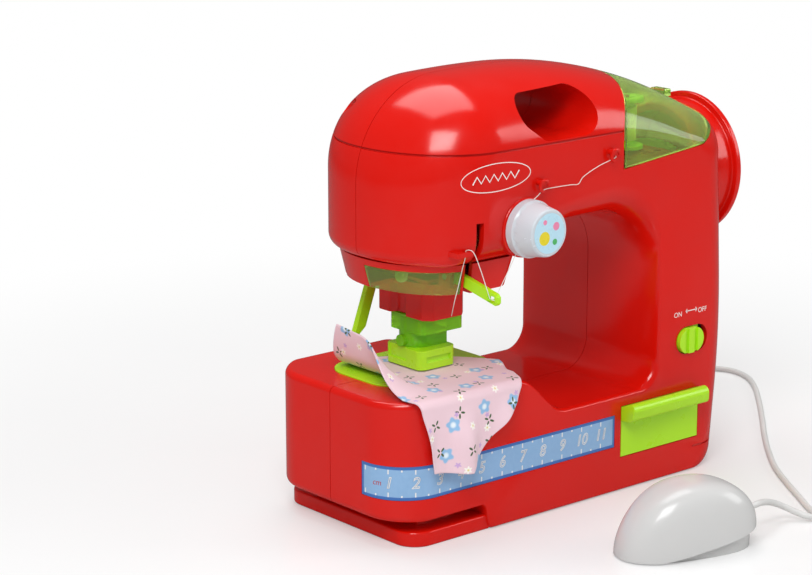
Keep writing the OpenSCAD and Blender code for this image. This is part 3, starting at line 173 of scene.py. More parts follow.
def steelMaterial(name):  # drawn steel with fine scratches that break up its shine
    mat, tree = newMaterial(name)
    coords = addNode(tree, "ShaderNodeTexCoord").outputs["Object"]
    scratch = addNode(tree, "ShaderNodeTexNoise", Vector=coords, Scale=1 / (0.5 * mm), Detail=5.0)
    tone = addNode(tree, *colorMix, i0=scratch, i6=srgb("#AEB3B8"), i7=srgb("#C6CACE"))
    rough = addNode(tree, "ShaderNodeMapRange", Value=scratch, To_Min=0.2, To_Max=0.42)
    shader = addNode(tree, "ShaderNodeBsdfPrincipled", Base_Color=tone.outputs[2], Roughness=rough,
                     Metallic=1.0)
    addNode(tree, "ShaderNodeOutputMaterial", Surface=shader)
    return mat


mats["drawnSteel"] = steelMaterial("drawnSteel")
print("stage: plastics and steel made")


def linkMesh(name, mesh, material, body, smooth=None):
    obj = bpy.data.objects.new(name, mesh)
    scene.collection.objects.link(obj)
    mesh.materials.clear()
    mesh.materials.append(material)
    if smooth is not None:
        smoothByAngle(mesh, smooth)
    if body:
        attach(obj, body)
    return obj


def smoothByAngle(mesh, degrees):
    bm = bmesh.new()
    bm.from_mesh(mesh)
    limit = math.radians(degrees)
    for edge in bm.edges:
        edge.smooth = len(edge.link_faces) == 2 and edge.calc_face_angle(9.0) < limit
    for face in bm.faces:
        face.smooth = True
    bm.to_mesh(mesh)
    bm.free()


def meshFrom(name, points, faces):
    mesh = bpy.data.meshes.new(name)
    mesh.from_pydata([tuple(p) for p in points], [], [tuple(int(i) for i in f) for f in faces])
    mesh.validate()
    return mesh


def baked(obj, name):  # the modified object as a plain mesh
    graph = bpy.context.evaluated_depsgraph_get()
    graph.update()
    mesh = bpy.data.meshes.new_from_object(obj.evaluated_get(graph))
    mesh.name = name
    return mesh


def combine(mesh, other, operation):  # boolean of two closed meshes
    a = bpy.data.objects.new("work", mesh)
    b = bpy.data.objects.new("tool", other)
    for obj in (a, b):
        scene.collection.objects.link(obj)
    mod = a.modifiers.new("cut", "BOOLEAN")
    mod.operation = operation
    mod.solver = "MANIFOLD"
    mod.object = b
    result = baked(a, mesh.name)
    for obj in (a, b):
        bpy.data.objects.remove(obj)
    if len(result.polygons) == 0:
        raise RuntimeError("empty result for " + mesh.name)
    return result


def boxMesh(x0, x1, y0, y1, z0, z1):
    points = [(x * mm, y * mm, z * mm) for x in (x0, x1) for y in (y0, y1) for z in (z0, z1)]
    faces = [(0, 1, 3, 2), (4, 6, 7, 5), (0, 4, 5, 1), (2, 3, 7, 6), (0, 2, 6, 4), (1, 5, 7, 3)]
    return meshFrom("box", points, faces)


def prismMesh(outline, place, low, high):  # outline in mm, place(u, v, w) gives mm
    n = len(outline)
    points = [[c * mm for c in place(u, v, w)] for w in (low, high) for u, v in outline]
    faces = [tuple(range(n - 1, -1, -1)), tuple(range(n, 2 * n))]
    faces += [(i, (i + 1) % n, n + (i + 1) % n, n + i) for i in range(n)]
    mesh = meshFrom("prism", points, faces)
    bm = bmesh.new()
    bm.from_mesh(mesh)
    bmesh.ops.recalc_face_normals(bm, faces=bm.faces)
    bmesh.ops.triangulate(bm, faces=[f for f in bm.faces if len(f.verts) > 4])
    bm.to_mesh(mesh)
    bm.free()
    return mesh


alongY = lambda u, v, w: (u, w, v)
alongZ = lambda u, v, w: (u, v, w)
alongX = lambda u, v, w: (w, u, v)


def circlePoints(x, y, r, count=96):
    turns = [2 * math.pi * k / count for k in range(count)]
    return [(x + r * math.cos(a), y + r * math.sin(a)) for a in turns]


def hullPoints(points):
    unique = sorted(set((round(x, 5), round(y, 5)) for x, y in points))
    halves = []
    for run in (unique, unique[::-1]):
        chain = []
        for p in run:
            while len(chain) > 1:
                (ax, ay), (bx, by) = chain[-2], chain[-1]
                if (bx - ax) * (p[1] - ay) - (by - ay) * (p[0] - ax) > 0:
                    break
                chain.pop()
            chain.append(p)
        halves += chain[:-1]
    return halves


def roundedRect(x0, x1, y0, y1, r, count=64):
    spots = [(x, y) for x in (x0 + r, x1 - r) for y in (y0 + r, y1 - r)]
    return hullPoints([p for x, y in spots for p in circlePoints(x, y, r, count)])


def lathe(name, profile, place, segments=96):  # profile rows are radius and height in mm
    points, faces = [], []
    rows = len(profile)
    for k in range(segments):
        a = 2 * math.pi * k / segments
        points += [[c * mm for c in place(r * math.cos(a), r * math.sin(a), h)] for r, h in profile]
    for k in range(segments):
        for i in range(rows - 1):
            a, b = k * rows + i, (k + 1) % segments * rows + i
            faces.append((a, b, b + 1, a + 1))
    mesh = meshFrom(name, points, faces)
    bm = bmesh.new()
    bm.from_mesh(mesh)
    bmesh.ops.remove_doubles(bm, verts=bm.verts, dist=1e-6)
    bmesh.ops.recalc_face_normals(bm, faces=bm.faces)
    bm.to_mesh(mesh)
    bm.free()
    return mesh


# camera and cord
camera = {
    "place": (-623.1, -673.8, 310.0), "azimuth": -40.3, "elevation": 14.3,
    "lens": 110.84, "sensor": 36, "near": 0.05}
cam = bpy.data.objects.new("camera", bpy.data.cameras.new("camera"))
scene.collection.objects.link(cam)
az, el = math.radians(camera["azimuth"]), math.radians(camera["elevation"])
rightDir = Vector((math.cos(az), math.sin(az), 0))
backDir = Vector((math.sin(az) * math.cos(el), -math.cos(az) * math.cos(el), math.sin(el)))
upDir = backDir.cross(rightDir)
cam.matrix_world = Matrix((
    (rightDir.x, upDir.x, backDir.x, camera["place"][0] * mm),
    (rightDir.y, upDir.y, backDir.y, camera["place"][1] * mm),
    (rightDir.z, upDir.z, backDir.z, camera["place"][2] * mm),
    (0, 0, 0, 1)))
cam.data.lens = camera["lens"]
cam.data.sensor_width = camera["sensor"]
cam.data.clip_start = camera["near"]
scene.camera = cam

cord = {
    "diameter": 2.4,
    "route": [
        (60, 46.5, 14), (60.2, 51, 13.4), (61.5, 57, 10), (65, 63, 5), (71, 68, 2),
        (80, 71, 1.2), (96, 73, 1.2), (116, 72.5, 1.2), (136, 69.5, 1.2), (155, 63, 1.2),
        (168, 54, 1.2), (174, 44, 1.2), (171.5, 32, 1.2), (163, 20, 1.2), (149, 5, 1.2),
        (131, -13, 1.2), (116, -27.5, 1.2), (101, -43, 1.2), (87, -59, 1.2), (76.5, -74, 1.2),
        (67.5, -88, 1.2), (61, -98, 1.2), (58.2, -103.4, 1.2), (56, -107.6, 1.3), (51.6, -107.6, 1.8),
        (48.6, -103.6, 3.2), (45.4, -100.6, 5.2), (40, -100.2, 7.8), (33.5, -102, 10.2), (28, -103.8, 11.6),
        (25, -104.6, 11.9), (22, -104.9, 12), (19, -104.4, 12)],
}


def spline(points, steps):  # smooth run through points
    rows = [np.array(p, float) for p in points]
    out = []
    for i in range(len(rows) - 1):
        a, b, c, d = rows[max(i - 1, 0)], rows[i], rows[i + 1], rows[min(i + 2, len(rows) - 1)]
        for k in range(steps):
            t = k / steps
            square, cube = 2 * a - 5 * b + 4 * c - d, 3 * b - a - 3 * c + d
            out.append(0.5 * (2 * b + (c - a) * t + square * t * t + cube * t ** 3))
    return out + [rows[-1]]


def tubeMesh(name, path, radius, sides):  # path in mm
    rows = [np.array(p, float) for p in path]
    n = len(rows)
    points, faces = [], []
    flat = None
    for i, p in enumerate(rows):
        t = rows[min(i + 1, n - 1)] - rows[max(i - 1, 0)]
        t /= np.linalg.norm(t)
        if flat is None:
            flat = np.cross(t, (0.0, 0.0, 1.0))
            if np.linalg.norm(flat) < 1e-3:
                flat = np.cross(t, (0.0, 1.0, 0.0))
        flat = flat - t * flat.dot(t)
        flat /= np.linalg.norm(flat)
        up = np.cross(t, flat)
        for k in range(sides):
            a = 2 * math.pi * k / sides
            points.append((p + radius * (math.cos(a) * flat + math.sin(a) * up)) * mm)
    for i in range(n - 1):
        for k in range(sides):
            a, b = i * sides + k, i * sides + (k + 1) % sides
            faces.append((a, b, b + sides, a + sides))
    faces.append(tuple(range(sides - 1, -1, -1)))
    faces.append(tuple(range((n - 1) * sides, n * sides)))
    return meshFrom(name, points, faces)


cordPath = spline(cord["route"], 6)
cordTube = tubeMesh("pedalCord", cordPath, cord["diameter"] / 2, 16)
cordPiece = linkMesh("pedalCord", cordTube, mats["cordPvc"], "machine", 40)
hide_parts("pedal_cord")
print("stage: camera and cord made")

# half shells: a loft from the outline on the seam to the outline on the front face
body = {
    "depth": 38, "wall": 2, "lidWall": 1.6, "seam": 0.14, "smallest": 0.8, "rings": 40, "finer": 4,
    "hollow": (16, 2), "core": (24, 3), "lidHollow": (20, 3),  # rings and fineness inside
    "cutReach": 60, "cutOver": 1,  # how far cuts go in front and past the seam
    "corners": [  # x, z and reach on the seam, the same on the face, rolls in x and z, points
        (-87.6, 9.6, 3, -69.6, 10.8, 3, 18, 2.5, 4), (-46, 9.6, 2, -46, 10.8, 2, 2.5, 2.5, 3),
        (-44, 0, 2, -43.5, 1.2, 2, 2.5, 2.5, 3), (86, 0, 7, 66.2, 1.2, 7, 36, 2.5, 5),
        (91.2, 52, 25, 70.8, 52, 25, 36, 36, 4), (87.5, 136.5, 7, 66, 127, 8, 36, 36, 7),
        (30, 162.8, 40, 22, 138.9, 25, 37, 37, 5), (-22, 163.4, 10, -22, 138.9, 10, 37, 37, 3),
        (-75.1, 161.5, 36, -44.1, 138.9, 5, 37, 37, 8), (-75.1, 99, 5, -44.1, 109.5, 5, 37, 9, 8),
        (-19, 99, 5, -24, 114.5, 6, 9, 9, 3), (-7, 108.5, 6, -6, 118, 8, 9, 9, 5),
        (40.9, 108.5, 24, 41.5, 122.5, 27, 10, 10, 7), (40.9, 70, 6, 42.5, 70, 6, 10, 10, 4),
        (40.9, 38.3, 12, 42.5, 37.1, 8, 10, 2.5, 5), (-10, 38.3, 5, -10.4, 37.1, 5, 2.5, 2.5, 3),
        (-26, 53.9, 6, -26.6, 52.7, 6, 2.5, 2.5, 3), (-87.6, 53.9, 2.5, -69.6, 52.7, 2.5, 18, 2.5, 4)],
}


def bodyOutline(start, inset, finer):
    rows = [np.array(c[start:start + 2], float) for c in body["corners"]]
    reach = [c[start + 2] for c in body["corners"]]
    n = len(rows)
    moved = []
    for i in range(n):
        e = rows[i] - rows[i - 1]
        f = rows[(i + 1) % n] - rows[i]
        e, f = e / np.linalg.norm(e), f / np.linalg.norm(f)
        a, b = np.array((-e[1], e[0])), np.array((-f[1], f[0]))
        bend = (e[0] * f[1] - e[1] * f[0]) / (1 + e.dot(f))
        moved.append((rows[i] + (a + b) * inset / (1 + a.dot(b)), max(reach[i] - inset * bend, 0.3)))
    out, owner = [], []
    for i in range(n):
        p, r = moved[i]
        u = moved[i - 1][0] - p
        v = moved[(i + 1) % n][0] - p
        u, v = u / np.linalg.norm(u), v / np.linalg.norm(v)
        w = math.sqrt(max(0.0, (1 - u.dot(v)) / 2))
        count = body["corners"][i][8] * finer
        for k in range(count):
            t = k / (count - 1)
            a, b, c = (1 - t) ** 2, 2 * t * (1 - t) * w, t * t
            out.append((a * (p + u * r) + b * p + c * (p + v * r)) / (a + b + c))
            owner.append(i)
    return np.array(out), owner


def roll(y, depth, r):
    s = (abs(y) - depth + r) / r
    return 0.0 if s <= 0 else 1 - math.sqrt(max(0.0, 1 - s * s))


def bodyMesh(name, inset, depths, finer):  # closed loft through rings at the given depths
    seam, owner = bodyOutline(0, inset, finer)
    face, owner = bodyOutline(3, inset, finer)
    n = len(seam)
    points = []
    for y in depths:
        for i in range(n):
            c = body["corners"][owner[i]]
            u = roll(y, body["depth"] - inset, max(c[6] - inset, body["smallest"]))
            v = roll(y, body["depth"] - inset, max(c[7] - inset, body["smallest"]))
            p = seam[i] + (face[i] - seam[i]) * np.array((u, v))
            points.append((p[0] * mm, y * mm, p[1] * mm))
    faces = []
    for k in range(len(depths) - 1):
        for i in range(n):
            a, b = k * n + i, k * n + (i + 1) % n
            faces.append((a, b, b + n, a + n))
    top = (len(depths) - 1) * n
    for i in range(n // 2 - 1):
        faces.append((n - 1 - i, n - 2 - i, i + 1, i))
        faces.append((top + i, top + i + 1, top + n - 2 - i, top + n - 1 - i))
    return meshFrom(name, points, faces)


def halfDepths(inset, steps, start):
    reach = body["depth"] - inset
    return [start] + [-reach * math.sin(math.pi / 2 * k / steps) for k in range(1, steps + 1)]


def fullDepths(inset, steps):
    reach = body["depth"] - inset
    return [-reach * math.sin(math.pi / 2 * k / steps) for k in range(-steps, steps + 1)]


handle = {"rounds": [(1, 148.8, 8.6), (-15.5, 147.5, 7.4), (-21, 150.4, 6.4)], "lining": 2}


def handlePrism(grow):
    outline = hullPoints([p for x, z, r in handle["rounds"] for p in circlePoints(x, z, r + grow, 128)])
    return prismMesh(outline, alongY, -body["cutReach"], 2 * body["cutOver"])


lid = {
    "low": [(10, 123.8), (24.7, 125.2), (64, 129), (86, 138), (110, 147)],
    "ridge": 38, "edge": 51, "gap": 0.4, "collarGap": 0.55, "flangeGap": 0.4, "flangeX": 93.1,
    "top": 200, "drumZ": (90, 220), "tab": (77, 81, -4, 4, 141, 144)}


def lidRegion(gap):
    low, top = lid["low"], lid["top"]
    outline = [(x, z + gap) for x, z in low] + [(low[-1][0], top), (low[0][0], top)]
    block = prismMesh(outline, alongY, -body["cutReach"], body["cutReach"])
    rim = circlePoints(lid["ridge"] - lid["edge"], 0, lid["edge"] + gap, 512)
    return combine(block, prismMesh(rim, alongZ, *lid["drumZ"]), "DIFFERENCE")


ruler = {
    "low": 18.1, "high": 30.8, "right": 19.4, "depth": 0.6, "corner": 18, "x": -69.6, "y": -20, "left": 2.3,
    "start": -18.9, "face": 0.2, "border": 1.25, "endBorder": 1.1, "cut": 2, "trim": 0.1, "steps": 72}


def rulerPoint(s, out):  # unrolled distance along the base to plan x and y
    r = ruler["corner"] + out
    if s >= ruler["x"]:
        return s, ruler["y"] - r
    a = (ruler["x"] - s) / ruler["corner"]
    if a < math.pi / 2:
        return ruler["x"] - r * math.sin(a), ruler["y"] - r * math.cos(a)
    return ruler["x"] - r, ruler["y"] + (a - math.pi / 2) * ruler["corner"]


def rulerBand(outer, inner, trim):
    start = ruler["x"] - ruler["corner"] * math.pi / 2 - ruler["left"] + trim
    bendEnd, steps = ruler["x"] + 0.01, ruler["steps"]  # a hair past the corner
    runs = [start + (bendEnd - start) * k / steps for k in range(steps + 1)] + [ruler["right"] - trim]
    outline = [rulerPoint(s, outer) for s in runs] + [rulerPoint(s, inner) for s in runs[::-1]]
    return prismMesh(outline, alongZ, ruler["low"] + trim, ruler["high"] - trim)


collar = {"r": 26, "flange": 28.5, "z": 112.4, "fit": 0.15, "bore": (60, 110)}
grooves = {"hood": (-120, 38, 138.9, 139.7, 0.7), "foot": (62, 120, 9.4, 10.1, 0.6)}  # x and z spans, depth
openings = {
    # boxes: x, y and z spans
    "head": (-56.9, -32.1, -17.4, 2, 98, 103), "door": (-38, 16, -16, 2, -1, 3),
    "lever": (-50.7, -47.7, -60, -24, 94, 114.8), "drawer": (22.5, 64.8, -60, -30, 13.4, 33.7),
    # rounded: two spans and a corner radius
    "button": (51.7, 68.7, 48.0, 58.8, 5.39), "plate": (-74.1, -19.9, -18.1, 22.1, 12.1),
    # round: place and radius
    "needle": (-44.5, 0, 5), "stem": (-28, 110.4, 2.55), "grommet": (60, 14, 3.7),
    # from where to where they are cut
    "plateZ": (53.1, 64), "needleZ": (50, 58), "stemY": (-60, -20), "buttonY": (-60, -30),
    "grommetY": (-60, -30)}
screws = {"posts": [(-79, 42), (-58, 149), (13, 130), (48, 68), (79, 26)], "well": 3.3, "depth": 12}


def rodMesh(r, place, low, high, a, b, count=96):
    return prismMesh(circlePoints(a, b, r, count), place, low, high)


def halfShell(side):
    outer = bodyMesh("shell", 0, halfDepths(0, body["rings"], -body["seam"]), body["finer"])
    rings, finer = body["hollow"]
    hollow = bodyMesh("hollow", body["wall"], halfDepths(body["wall"], rings, body["cutOver"]), finer)
    hollow = combine(hollow, handlePrism(handle["lining"]), "DIFFERENCE")
    shell = combine(outer, hollow, "DIFFERENCE")
    rings, finer = body["core"]
    for x0, x1, z0, z1, deep in grooves.values():
        slab = boxMesh(x0, x1, -body["cutReach"], body["cutOver"], z0, z1)
        core = bodyMesh("core", deep, halfDepths(deep, rings, 2 * body["cutOver"]), finer)
        shell = combine(shell, combine(slab, core, "DIFFERENCE"), "DIFFERENCE")
    x, y, r = openings["needle"]
    cuts = [handlePrism(0), lidRegion(0),
            rodMesh(collar["r"] + collar["fit"], alongX, *collar["bore"], 0, collar["z"], 192),
            boxMesh(*openings["head"]), boxMesh(*openings["door"]),
            rodMesh(r, alongZ, *openings["needleZ"], x, y)]
    left, right, front, rear, r = openings["plate"]
    if side > 0:  # made in front and mirrored later
        front, rear = -rear, -front
    plate = prismMesh(roundedRect(left, right, front, rear, r), alongZ, *openings["plateZ"])
    if side > 0:
        wells = [rodMesh(screws["well"], alongY, -body["cutReach"], -screws["depth"], x, z, 48)
                 for x, z in screws["posts"]]
        x, z, bore = openings["grommet"]
        cuts += [plate, *wells, rodMesh(bore, alongY, *openings["grommetY"], x, z, 48)]
    else:
        x, z, bore = openings["stem"]
        cuts += [rodMesh(bore, alongY, *openings["stemY"], x, z), boxMesh(*openings["lever"]),
                 boxMesh(*openings["drawer"]),
                 prismMesh(roundedRect(*openings["button"]), alongY, *openings["buttonY"]),
                 rulerBand(ruler["cut"], -ruler["depth"], 0), plate]
    for cut in cuts:
        shell = combine(shell, cut, "DIFFERENCE")
    if side > 0:
        shell.transform(Matrix.Diagonal((1, -1, 1, 1)))
        shell.flip_normals()
    return shell


skin = {  # reach and gaps in mm, facing and agree as cosines, sharp in degrees
    "reach": 2, "faceGap": 0.06, "cornerGap": 0.08, "facing": 0.75, "agree": 0.5, "sharp": 28}


def surfaceNormals(mesh):  # smooth normals from the uncut loft on all that lies on it
    source = bodyMesh("source", 0, fullDepths(0, body["rings"]), body["finer"])
    source.calc_loop_triangles()
    normals = [v.normal.copy() for v in source.vertices]
    spots = [v.co.copy() for v in source.vertices]
    triangles = [tuple(t.vertices) for t in source.loop_triangles]
    tree = BVHTree.FromPolygons(spots, triangles)
    smoothByAngle(mesh, skin["sharp"])
    custom = [None] * len(mesh.loops)
    corner = [Vector(n.vector) for n in mesh.corner_normals]
    for poly in mesh.polygons:
        spot, normal, index, distance = tree.find_nearest(poly.center, skin["reach"] * mm)
        on = spot is not None and distance < skin["faceGap"] * mm
        on = on and normal.dot(poly.normal) > skin["facing"]
        for li in poly.loop_indices:
            custom[li] = corner[li]
            if not on:
                continue
            co = mesh.vertices[mesh.loops[li].vertex_index].co
            near, flat, index, distance = tree.find_nearest(co, skin["reach"] * mm)
            if near is None or distance > skin["cornerGap"] * mm:
                continue
            a, b, c = (spots[i] for i in triangles[index])
            area = (b - a).cross(c - a).length
            if area < 1e-16:
                continue
            wa = (b - near).cross(c - near).length / area
            wb = (c - near).cross(a - near).length / area
            wc = max(0.0, 1 - wa - wb)
            na, nb, nc = (normals[i] for i in triangles[index])
            mixed = (na * wa + nb * wb + nc * wc).normalized()
            if mixed.dot(poly.normal) > skin["agree"]:
                custom[li] = mixed
    mesh.normals_split_custom_set(custom)
    bpy.data.meshes.remove(source)


for name, side in (("front_shell", -1), ("rear_shell", 1)):
    mesh = halfShell(side)
    surfaceNormals(mesh)
    piece = linkMesh(name.replace("_s", "S"), mesh, mats["redAbs"], "machine")
    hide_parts(name)
    print("stage:", piece.name, len(mesh.polygons), "faces")

rings, finer = body["lidHollow"]
lidMesh = bodyMesh("lid", 0, fullDepths(0, body["rings"]), body["finer"])
lidHollow = bodyMesh("lidHollow", body["lidWall"], fullDepths(body["lidWall"], rings), finer)
lidMesh = combine(lidMesh, lidHollow, "DIFFERENCE")
lidMesh = combine(lidMesh, lidRegion(lid["gap"]), "INTERSECT")
start, end = collar["bore"]
for r, x in ((collar["r"] + lid["collarGap"], start), (collar["flange"] + lid["flangeGap"], lid["flangeX"])):
    lidMesh = combine(lidMesh, rodMesh(r, alongX, x, end, 0, collar["z"], 192), "DIFFERENCE")
surfaceNormals(lidMesh)
lidPiece = linkMesh("spoolLid", lidMesh, mats["clearGreen"], "lid")
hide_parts("spool_lid")
print("stage: spool lid", len(lidMesh.polygons), "faces")

nodeBody = {n: b for b, group in frame["record"]["behaviour"]["bodies"].items() for n in group}


def bevelled(mesh, name, width, angle=38, merge=True):  # rounds the sharp edges and keeps flats flat
    bm = bmesh.new()
    bm.from_mesh(mesh)
    bmesh.ops.remove_doubles(bm, verts=bm.verts, dist=2e-6)
    if merge:
        bmesh.ops.dissolve_limit(bm, angle_limit=math.radians(0.6), verts=bm.verts, edges=bm.edges)
    for face in bm.faces:
        face.smooth = True
    bm.to_mesh(mesh)
    bm.free()
    obj = bpy.data.objects.new("work", mesh)
    scene.collection.objects.link(obj)
    mod = obj.modifiers.new("bevel", "BEVEL")
    mod.width = width * mm
    mod.segments = 3
    mod.limit_method = "ANGLE"
    mod.angle_limit = math.radians(angle)
    mod.miter_outer = "MITER_ARC"
    weigh = obj.modifiers.new("weigh", "WEIGHTED_NORMAL")
    weigh.keep_sharp = True
    split = obj.modifiers.new("split", "TRIANGULATE")
    split.min_vertices = 5
    split.keep_custom_normals = True
    result = baked(obj, name)
    bpy.data.objects.remove(obj)
    return result


def softened(node, width, material, slot):  # a rounded copy of a solid in its place
    name = "".join(w.capitalize() for w in node.split("_"))
    name = name[0].lower() + name[1:]
    name = {"drawer": "limeDrawer"}.get(name, name)
    ringed = node in ("needle_guard", "head_skirt")  # flats round a hole stay split
    mesh = bevelled(frame["nodes"][node].data.copy(), name, width, merge=not ringed)
    piece = linkMesh(name, mesh, mats[material], nodeBody[node])
    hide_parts(node)
    return piece


rounded = [
    ("head_skirt", 0.5, "redAbs", "red_shell"), ("needle_block", 0.6, "redAbs", "red_shell"),
    # the spool deck and the battery door take the housing red darkened as painted shade
    ("handwheel_collar", 0.7, "redAbs", "red_shell"), ("spool_deck", 0.3, "redDeep", "red_shell"),
    ("battery_door", 0.3, "redDeep", "red_shell"), ("drawer", 0.5, "limeAbs", "lime"),
    ("power_button", 0.45, "limeAbs", "lime"), ("handwheel_knob", 0.7, "limeAbs", "lime"),
    ("presser_foot", 0.5, "limeAbs", "lime"), ("presser_lifter", 0.4, "limeAbs", "lime"),
    ("take_up_lever", 0.35, "limeAbs", "lime"), ("needle_plate", 0.25, "limeAbs", "lime"),
    ("thread_spool", 0.25, "limeAbs", "lime"), ("lamp_lens", 0.25, "clearGreen", "clear_green"),
    ("needle_guard", 0.45, "clearLime", "clear_green"), ("pedal_base", 0.3, "whiteAbs", "white_plastic"),
    ("cord_grommet", 0.25, "cordPvc", "white_plastic"), ("tension_dial", 0.3, "clearWhite", "clear_white")]
for row in rounded:
    softened(*row)
print("stage: moulded pieces rounded", len(rounded))

inside = {
    "drawnSteel": ["main_shaft", "needle_bar", "needle", "lifter_pin", "take_up_pin", "tension_spring",
                   "motor", "battery_contacts", "case_screws", "pedal_hinge_pin"],
    "greyAbs": ["shaft_bushes", "motor_cradle", "drive_gear", "crank_disc", "motor_pinion", "drawer_guide"],
    "blackAbs": ["switch_body", "battery_box", "pedal_switch"], "cellJacket": ["battery_cells"],
    "clearWhite": ["lamp_led"],
}
for material, group in inside.items():
    for node in group:
        frame["nodes"][node].data.materials.clear()
        frame["nodes"][node].data.materials.append(mats[material])

# moulded details: foot, dial boss, thread hooks, thread bracket and the lid's tab
foot = {
    "left": -80.3, "right": -42.9, "half": 37, "round": 9, "high": 5.6,
    "neck": (-71.3, -43, -29, 29, 4.6, 10.6)}
footX, footY = foot["left"] + foot["round"], foot["half"] - foot["round"]
footOutline = [p for y in (-footY, footY) for p in circlePoints(footX, y, foot["round"])]
footOutline += [(foot["right"], -foot["half"]), (foot["right"], foot["half"]), (foot["left"], 0)]
footMesh = bevelled(prismMesh(hullPoints(footOutline), alongZ, 0, foot["high"]), "leftFoot", 0.8)
linkMesh("leftFoot", footMesh, mats["redAbs"], "machine")
linkMesh("footNeck", bevelled(boxMesh(*foot["neck"]), "footNeck", 0.4), mats["redAbs"], "machine")
boss = {  # radius and height rows, from the bore over the rounded rim to the back
    "profile": [(2.55, 30), (2.55, 38.6), (10.1, 38.6), (10.6, 38.45), (10.9, 38.1), (11, 37.6), (11, 24)]}
bossPlace = lambda u, v, w: (openings["stem"][0] + u, -w, openings["stem"][1] + v)
linkMesh("dialBoss", lathe("dialBoss", boss["profile"], bossPlace), mats["redAbs"], "machine", 40)
hooks = {"at": [(15, 131.2), (-20.5, 124.6)], "r": 2.1, "wire": 0.7, "y": -39.8, "sweep": 250,
         "stem": (-1.6, 1.4), "stemR": 1.0, "stemY": (-40.4, -39.5, -37)}
for i, (x, z) in enumerate(hooks["at"]):
    turns = [math.radians(a) for a in range(0, hooks["sweep"] + 1, 6)]
    ring = [(x + hooks["r"] * math.cos(a), hooks["y"], z + hooks["r"] * math.sin(a)) for a in turns]
    linkMesh("threadHook" + str(i), tubeMesh("hook", ring, hooks["wire"], 12), mats["redAbs"], "machine", 40)
    stem = [(x + hooks["stem"][0], y, z + hooks["stem"][1]) for y in hooks["stemY"]]
    linkMesh("hookStem" + str(i), tubeMesh("stem", stem, hooks["stemR"], 16), mats["redAbs"], "machine", 40)
bracket = {"block": (-60, -53, -37.6, -29, 103.6, 105.4), "eye": (-54.6, -35.8, 1)}
x, y, r = bracket["eye"]
bracketMesh = combine(boxMesh(*bracket["block"]), rodMesh(r, alongZ, 100, 110, x, y, 32), "DIFFERENCE")
linkMesh("threadBracket", bevelled(bracketMesh, "threadBracket", 0.35), mats["redAbs"], "machine")
tab = bevelled(boxMesh(*lid["tab"]), "lidTab", 0.6)
linkMesh("lidTab", tab, mats["clearGreen"], nodeBody["spool_lid"])
print("stage: moulded details made")


def filmMaterial(name):  # printed film: blue field with a deeper border, smooth and a little glossy
    mat, tree = newMaterial(name)
    coords = addNode(tree, "ShaderNodeTexCoord").outputs["Object"]
    split = addNode(tree, "ShaderNodeSeparateXYZ", Vector=coords)
    edges = [(below, 2, ruler["low"] + ruler["border"]), (above, 2, ruler["high"] - ruler["border"]),
             (above, 0, ruler["right"] - ruler["endBorder"]), (above, 1, ruler["start"])]
    border = 0.0
    for test, axis, place in edges:
        past = addNode(tree, *test, i0=split.outputs[axis], i1=place * mm)
        border = addNode(tree, *largest, i0=border, i1=past)
    ink = addNode(tree, "ShaderNodeTexNoise", Vector=coords, Scale=1 / (1.5 * mm), Detail=3.0)
    field = addNode(tree, *colorMix, i0=ink, i6=srgb("#86B0DA"), i7=srgb("#93BAE0"))
    edge = addNode(tree, *colorMix, i0=ink, i6=srgb("#3A6CB4"), i7=srgb("#4576BC"))
    tone = addNode(tree, *colorMix, i0=border, i6=field.outputs[2], i7=edge.outputs[2])
    shader = addNode(tree, "ShaderNodeBsdfPrincipled", Base_Color=tone.outputs[2], Roughness=0.3)
    addNode(tree, "ShaderNodeOutputMaterial", Surface=shader)
    return mat


mats["rulerFilm"] = filmMaterial("rulerFilm")
rulerMesh = rulerBand(-ruler["face"], -ruler["depth"], ruler["trim"])
rulerPiece = linkMesh("rulerStrip", rulerMesh, mats["rulerFilm"], "machine", 30)
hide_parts("ruler_strip")


def repeated(name, spots, size, material):  # bars of one size at many places, in mm
    points = meshFrom(name, [(x * mm, y * mm, z * mm) for x, y, z in spots], [])
    obj = bpy.data.objects.new(name, points)
    scene.collection.objects.link(obj)
    tree = bpy.data.node_groups.new(name, "GeometryNodeTree")
    tree.interface.new_socket("Geometry", in_out="INPUT", socket_type="NodeSocketGeometry")
    sizeSocket = tree.interface.new_socket("Bar size", in_out="INPUT", socket_type="NodeSocketVector")
    matSocket = tree.interface.new_socket("Bar material", in_out="INPUT", socket_type="NodeSocketMaterial")
    tree.interface.new_socket("Geometry", in_out="OUTPUT", socket_type="NodeSocketGeometry")
    start = addNode(tree, "NodeGroupInput")
    cells = [int(s / 0.4) + 1 if s > 0.8 else 2 for s in size]  # sides over 0.8 mm get more points
    bar = addNode(tree, "GeometryNodeMeshCube", Size=start.outputs["Bar size"],
                  Vertices_X=cells[0], Vertices_Y=cells[1], Vertices_Z=cells[2])
    place = addNode(tree, "GeometryNodeInstanceOnPoints", Points=start.outputs["Geometry"], Instance=bar)
    real = addNode(tree, "GeometryNodeRealizeInstances", Geometry=place)
    paint = addNode(tree, "GeometryNodeSetMaterial", Geometry=real, Material=start.outputs["Bar material"])
    addNode(tree, "NodeGroupOutput", Geometry=paint)
    mod = obj.modifiers.new("repeat", "NODES")
    mod.node_group = tree
    mod[sizeSocket.identifier] = [s * mm for s in size]
    mod[matSocket.identifier] = material
    mesh = baked(obj, name)
    bpy.data.objects.remove(obj)
    return mesh


def wrapped(mesh, lift):  # lays flat print (x along the ruler, z up) on the ruler's face
    for v in mesh.vertices:
        x, y = rulerPoint(v.co.x / mm, -ruler["face"] + lift - v.co.y / mm)
        v.co = (x * mm, y * mm, v.co.z)
    return mesh


